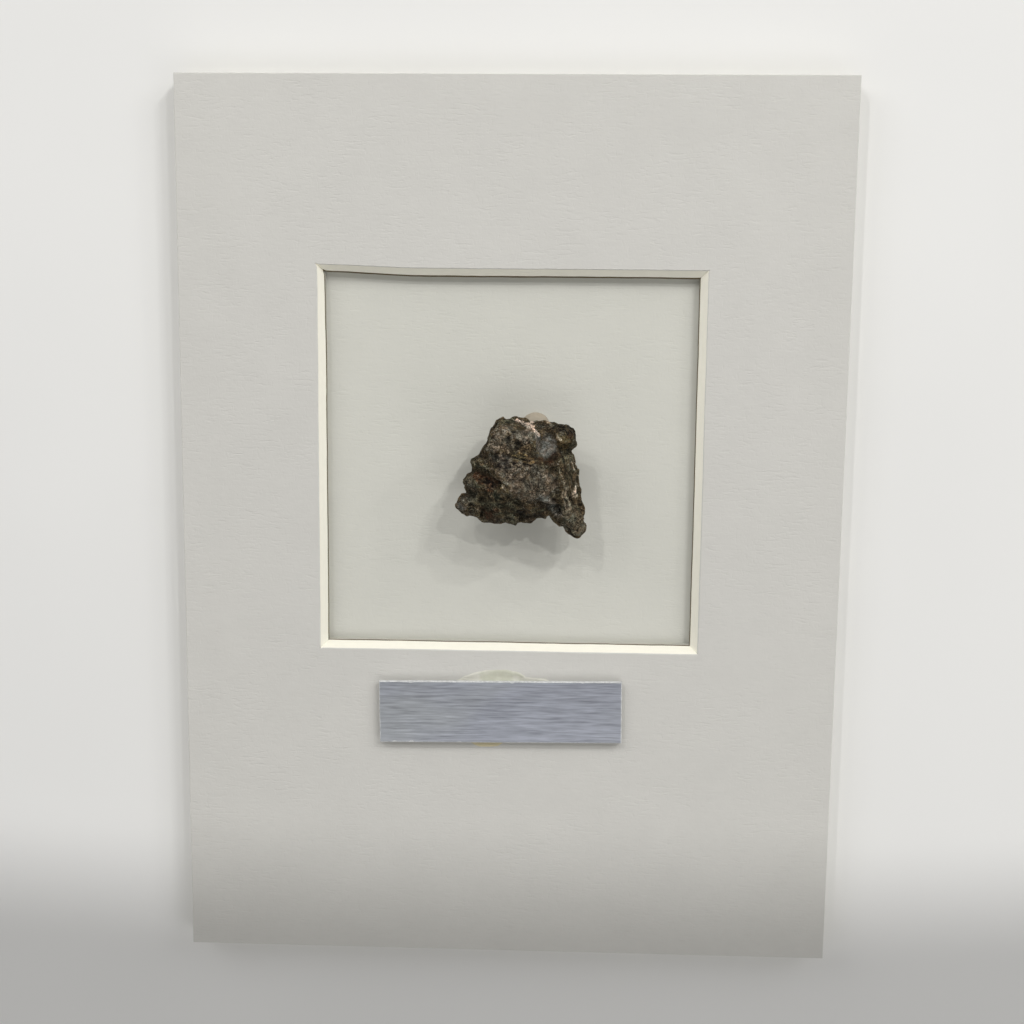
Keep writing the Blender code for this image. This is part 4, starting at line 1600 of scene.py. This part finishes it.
@dataclass
class Label:
    """The bare label: a thin white plastic plate with a brushed skin."""

    width: float = 38.6
    height: float = 10.0
    centre: tuple[float, float] = (-1.2, -28.9)
    turn: float = 0.8
    back_height: float = 4.55
    face_height: float = 5.3
    chamfer: float = 0.12
    skin_inset: float = 0.05
    skin_rise: float = 0.004
    side_steps: int = 150
    side_extras: tuple[float, ...] = (0.002,)
    wander: float = 0.018
    chips: tuple[Chip, ...] = (
        Chip(2, 0.87, 0.5, 0.16),
        Chip(2, 0.45, 0.4, 0.14),
        Chip(0, 0.06, 0.5, 0.16),
        Chip(0, 0.13, 0.6, 0.2),
        Chip(0, 0.33, 0.3, 0.08),
        Chip(2, 0.16, 0.3, 0.07),
    )

    def build(self) -> bpy.types.Object:
        """Builds the label.

        Returns:
            The label's object.
        """
        half = Box(-self.width / 2, self.width / 2, -self.height / 2, self.height / 2)
        shares = side_shares(self.side_steps, self.side_extras)
        low, high, edge = self.back_height, self.face_height, self.chamfer
        profile = [(0.03, low), (0.0, low + 0.05), (0.0, high - edge), (0.45 * edge, high - 0.3 * edge)]
        rows = [WindowMat.raised(half.grown(-inset).loop(shares), height) for inset, height in profile]
        rows.append(self.chipped(half.grown(-edge), shares, high))
        rows.append(self.chipped(half.grown(-edge - self.skin_inset), shares, high + self.skin_rise))
        mesh = ring_mesh("label", rows, [0, 0, 0, 0, 1, 1], False)
        work = bmesh.new()
        work.from_mesh(mesh)
        filled = bmesh.ops.holes_fill(work, edges=[rim for rim in work.edges if rim.is_boundary])["faces"]
        for face in filled:
            face.material_index = 1 if face.calc_center_median().z > (high - edge) * MM else 0
        bmesh.ops.recalc_face_normals(work, faces=work.faces)
        work.to_mesh(mesh)
        work.free()
        turn = Matrix.Rotation(math.radians(self.turn), 4, "Z")
        mesh.transform(Matrix.Translation(Vector((*self.centre, 0.0)) * MM) @ turn)
        mesh.materials.append(PlateCoreFinish("label_core", Tint(198, 199, 198)).made())
        skin = BrushedFinish("label_brushed_skin", Tint(160, 163, 167), Tint(157, 160, 169))
        mesh.materials.append(skin.made())
        piece = put_in_scene(mesh, "label_bare_plate")
        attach(piece, BODY)
        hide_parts("label_plate")
        return piece

    def chipped(self, box: Box, shares: Sequence[float], height: float) -> np.ndarray:
        """Makes the skin's outline, drawn in at each chip.

        Args:
            box: the outline without chips.
            shares: where the points of each side lie.
            height: its height.

        Returns:
            The outline's points.
        """
        row = WindowMat.raised(box.loop(shares), height)
        inward = {0: (0.0, 1.0), 1: (-1.0, 0.0), 2: (0.0, -1.0), 3: (1.0, 0.0)}
        lengths = (box.right - box.left, box.top - box.bottom) * 2
        count = len(shares)
        ragged = self.wander * drift(row, 0.6, Seed.LABEL_EDGE)
        for side in range(4):
            part = slice(side * count, (side + 1) * count)
            drawn = np.abs(ragged[part])
            for chip in self.chips:
                if chip.side == side:
                    away = np.abs(np.array(shares) - chip.share) * lengths[side]
                    drawn = drawn + chip.depth * (1.0 - ease(away, 0.2 * chip.width, chip.width))
            row[part, :2] += drawn[:, None] * np.array(inward[side])
        return row


@dataclass
class GlueFilm:
    """The dried glue that shows above and below the label."""

    over_top: tuple[tuple[float, float], ...] = (
        (-8.51, -24.4),
        (-8.19, -24.14),
        (-7.08, -23.47),
        (-5.64, -22.85),
        (-3.89, -22.42),
        (-2.61, -22.3),
        (-0.7, -22.26),
        (1.22, -22.49),
        (2.02, -22.8),
        (2.5, -23.12),
        (2.76, -23.4),
        (3.46, -23.42),
        (4.58, -23.48),
        (5.86, -23.6),
        (6.5, -23.85),
    )
    under_bottom: tuple[tuple[float, float], ...] = (
        (-6.0, -34.0),
        (-5.75, -34.4),
        (-5.4, -34.68),
        (-4.4, -34.99),
        (-2.8, -35.0),
        (-1.6, -34.84),
        (-0.9, -34.4),
        (-0.7, -34.0),
    )
    mat_face: float = 4.0
    rim: float = 0.045
    body: float = 0.05
    swell: float = 0.05
    slope: float = 0.3
    rim_place: float = 0.28
    rim_width: float = 0.22
    wander: float = 0.05
    climb: float = 0.35
    deep_from: float = 0.3
    cloud: float = 0.5
    cloud_middle: float = -0.8
    cloud_reach: float = 3.5
    top_root: float = -26.0
    bottom_root: float = -32.5
    bottom_yellowing: float = 0.9
    columns: int = 90
    steps: int = 14

    def build(self) -> bpy.types.Object:
        """Builds the film.

        Returns:
            The film's object.
        """
        work = bmesh.new()
        heights: list[float] = []
        self.lobe(work, heights, self.over_top, self.top_root, 0.0)
        self.lobe(work, heights, self.under_bottom, self.bottom_root, self.bottom_yellowing)
        mesh = bpy.data.meshes.new("label_glue")
        bmesh.ops.recalc_face_normals(work, faces=work.faces)
        work.to_mesh(mesh)
        work.free()
        keep_value(mesh, "thick", heights)
        smooth(mesh)
        finish = GlueFinish(
            "dried_label_glue", Tint(208, 206, 195), Tint(187, 187, 170), Tint(209, 198, 164), 0.5
        )
        mesh.materials.append(finish.made())
        piece = put_in_scene(mesh, "label_glue")
        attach(piece, BODY)
        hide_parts("label_adhesive")
        return piece

    def lobe(
        self,
        work: bmesh.types.BMesh,
        thick: list[float],
        edge: tuple[tuple[float, float], ...],
        root: float,
        yellowing: float,
    ) -> None:
        """Adds one lobe of glue between its outer edge and a line under the label.

        Args:
            work: the mesh under way.
            thick: how thick the glue looks at each new point; added to.
            edge: the lobe's outer edge, in millimetres.
            root: the height up the mat of the line under the label.
            yellowing: how much deeper this lobe's colour is.
        """
        xs = np.linspace(edge[0][0], edge[-1][0], self.columns)
        ys = np.interp(xs, [point[0] for point in edge], [point[1] for point in edge])
        seats = np.column_stack([xs, ys, np.zeros(self.columns)])
        ys = ys + self.wander * drift(seats, 0.7, Seed.GLUE_EDGE) * np.sign(ys - root)
        grid = []
        for step in range(self.steps + 1):
            share = 1.0 - (step / self.steps) ** 1.6
            line = []
            for x, y in zip(xs, ys):
                place = np.array([[x, root + (y - root) * share, 0.0]])
                from_edge = abs(y - place[0, 1])
                inside = min(from_edge, x - xs[0], xs[-1] - x)
                rise = float(ease(np.array([inside]), 0.0, self.slope)[0])
                rim = math.exp(-(((inside - self.rim_place) / self.rim_width) ** 2))
                body = self.body + self.swell * float(drift(place, 1.4, Seed.GLUE_BODY)[0])
                glue = rise * (body + self.rim * rim)
                climb = rise * self.climb * float(ease(np.array([from_edge]), 1.0, 2.0)[0])
                height = self.mat_face + 0.004 + glue + climb
                line.append(work.verts.new((x * MM, place[0, 1] * MM, height * MM)))
                cloud = self.cloud * math.exp(-(((x - self.cloud_middle) / self.cloud_reach) ** 2))
                thick.append(yellowing + cloud + min(max(glue / self.deep_from, 0.0), 1.0))
            grid.append(line)
        for before, after in zip(grid, grid[1:]):
            for column in range(self.columns - 1):
                corners = (before[column], before[column + 1], after[column + 1], after[column])
                work.faces.new(corners)


class LampKind(Enum):
    """How a lamp throws its light."""

    PANEL = "AREA"
    SPOT = "SPOT"


@dataclass(frozen=True)
class Lamp:
    """One studio lamp, by its slope right and up the mat for each step away from it."""

    kind: LampKind
    right: float
    up: float
    power: float
    size: float = 0.0

    def place(self, name: str, studio: "Studio") -> None:
        """Places the lamp.

        Args:
            name: the lamp's name.
            studio: says where the lamps stand and where the spots' light ends.
        """
        light = bpy.data.lights.new(name, self.kind.value)
        light.energy = self.power
        lamp = bpy.data.objects.new(name, light)
        bpy.context.scene.collection.objects.link(lamp)
        away = Vector((self.right, self.up, 1.0)).normalized()
        lamp.location = Vector(studio.aim) + away * studio.distance
        if self.kind is LampKind.PANEL:
            light.shape = "DISK"
            light.size = self.size
        else:
            light.shadow_soft_size = studio.edge_blur / math.hypot(1.0, self.up)
            light.spot_size = 2.0 * studio.spot_half_angle
            light.spot_blend = 0.0
            to_edge = (Vector(studio.light_edge) - lamp.location).normalized()
            upward = to_edge.cross(Vector((1.0, 0.0, 0.0))).normalized()
            upward = upward if upward.y > 0.0 else -upward
            half = studio.spot_half_angle
            away = -(to_edge * math.cos(half) + upward * math.sin(half))
        lamp.rotation_euler = away.to_track_quat("Z", "Y").to_euler()


@dataclass
class Studio:
    """The plain studio: soft panels, spots that stop short of the mat's bottom, and a pale floor."""

    lamps: tuple[Lamp, ...] = (
        Lamp(LampKind.SPOT, 0.5, 0.6, 2.83),
        Lamp(LampKind.SPOT, -0.5, 1.0, 2.34),
        Lamp(LampKind.SPOT, 0.95, 1.25, 2.33),
        Lamp(LampKind.SPOT, 0.75, 1.0, 2.25),
        Lamp(LampKind.SPOT, -0.5, 0.7, 1.46),
        Lamp(LampKind.SPOT, 0.1, 1.5, 1.18),
        Lamp(LampKind.SPOT, 1.6, 1.0, 1.08),
        Lamp(LampKind.SPOT, -1.0, 1.2, 0.83),
        Lamp(LampKind.SPOT, -1.6, 1.0, 0.54),
        Lamp(LampKind.SPOT, 0.0, 1.1, 0.8),
        Lamp(LampKind.PANEL, -2.0, 1.6, 1.28, 0.6),
        Lamp(LampKind.PANEL, 2.0, 1.6, 1.13, 0.6),
        Lamp(LampKind.PANEL, 1.0, -0.8, 0.93, 0.5),
        Lamp(LampKind.PANEL, 0.0, -0.8, 0.70, 0.5),
        Lamp(LampKind.PANEL, -1.0, -0.8, 0.44, 0.5),
        Lamp(LampKind.PANEL, 0.0, 2.5, 0.39, 0.6),
        Lamp(LampKind.PANEL, 1.6, 0.3, 0.17, 0.6),
    )
    aim: tuple[float, float, float] = (0.0018, 0.0092, 0.008)
    light_edge: tuple[float, float, float] = (0.0, -0.0585, 0.004)
    edge_blur: float = 0.0105
    spot_half_angle: float = math.radians(60.0)
    distance: float = 0.8
    ambient: float = 0.131
    floor_side: float = 1.6
    floor_drop: float = 0.0001

    def build(self) -> None:
        """Builds the world, lamps and floor."""
        for number, lamp in enumerate(self.lamps):
            lamp.place(f"lamp_{number}", self)
        world = bpy.data.worlds.new("studio")
        world.use_nodes = True
        back = world.node_tree.nodes["Background"]
        back.inputs["Color"].default_value = (1.0, 1.0, 1.0, 1.0)
        back.inputs["Strength"].default_value = self.ambient
        bpy.context.scene.world = world
        bpy.context.scene.view_settings.view_transform = "Standard"
        self.lay_floor()

    def lay_floor(self) -> None:
        """Lays the plain pale floor just under the display."""
        half = self.floor_side / 2.0
        mesh = bpy.data.meshes.new("floor")
        corners = [(-half, -half), (half, -half), (half, half), (-half, half)]
        mesh.from_pydata([(x, y, -self.floor_drop) for x, y in corners], [], [(0, 1, 2, 3)])
        finish = Finish("pale_floor", roughness=0.9, specular=0.1)
        graph = finish.graph
        soft = graph.noise(graph.place(), size=60.0, detail=2.0)
        colour = graph.scaled(Tint(226, 225, 222).albedo(), graph.span(soft, 0.3, 0.7, 0.985, 1.01))
        mesh.materials.append(finish.close(colour))
        put_in_scene(mesh, "floor")


@dataclass(frozen=True)
class Viewpoint:
    """The camera, where the photograph was taken from."""

    eye: tuple[float, float, float] = (0.007010573, 0.030081562, 0.205930661)
    tilt: float = 7.601
    turn: float = -1.9
    roll: float = -0.6
    lens: float = 45.703
    sensor: float = 36.0

    def place(self) -> None:
        """Places the camera and makes it the scene's own."""
        data = bpy.data.cameras.new("viewpoint")
        data.lens = self.lens
        data.sensor_width = self.sensor
        data.clip_start = 0.005
        data.clip_end = 10.0
        camera = bpy.data.objects.new("viewpoint", data)
        bpy.context.scene.collection.objects.link(camera)
        to_camera = (
            Matrix.Rotation(math.radians(self.roll), 4, "Z")
            @ Matrix.Rotation(math.radians(self.tilt), 4, "X")
            @ Matrix.Rotation(math.radians(self.turn), 4, "Y")
        )
        camera.matrix_world = Matrix.Translation(Vector(self.eye)) @ to_camera.transposed()
        bpy.context.scene.camera = camera


def report(piece: bpy.types.Object) -> None:
    """Writes a piece's name and size to the log."""
    LOG.info("%s: %d points, %d faces", piece.name, len(piece.data.vertices), len(piece.data.polygons))


def main() -> None:
    """Builds the whole dressed display."""
    logging.basicConfig(level=logging.INFO, format="%(name)s %(message)s")
    build_paper_grain()
    build_dust()
    view = Viewpoint()
    view.place()
    boards = Boards()
    report(boards.dress_card())
    for strip in boards.build_strips():
        report(strip)
    report(WindowMat().build())
    report(GlueFilm().build())
    report(Label().build())
    report(AdhesiveDab().build())
    report(Meteorite().build(Vector(view.eye)))
    Studio().build()


if __name__ == "__main__":
    main()
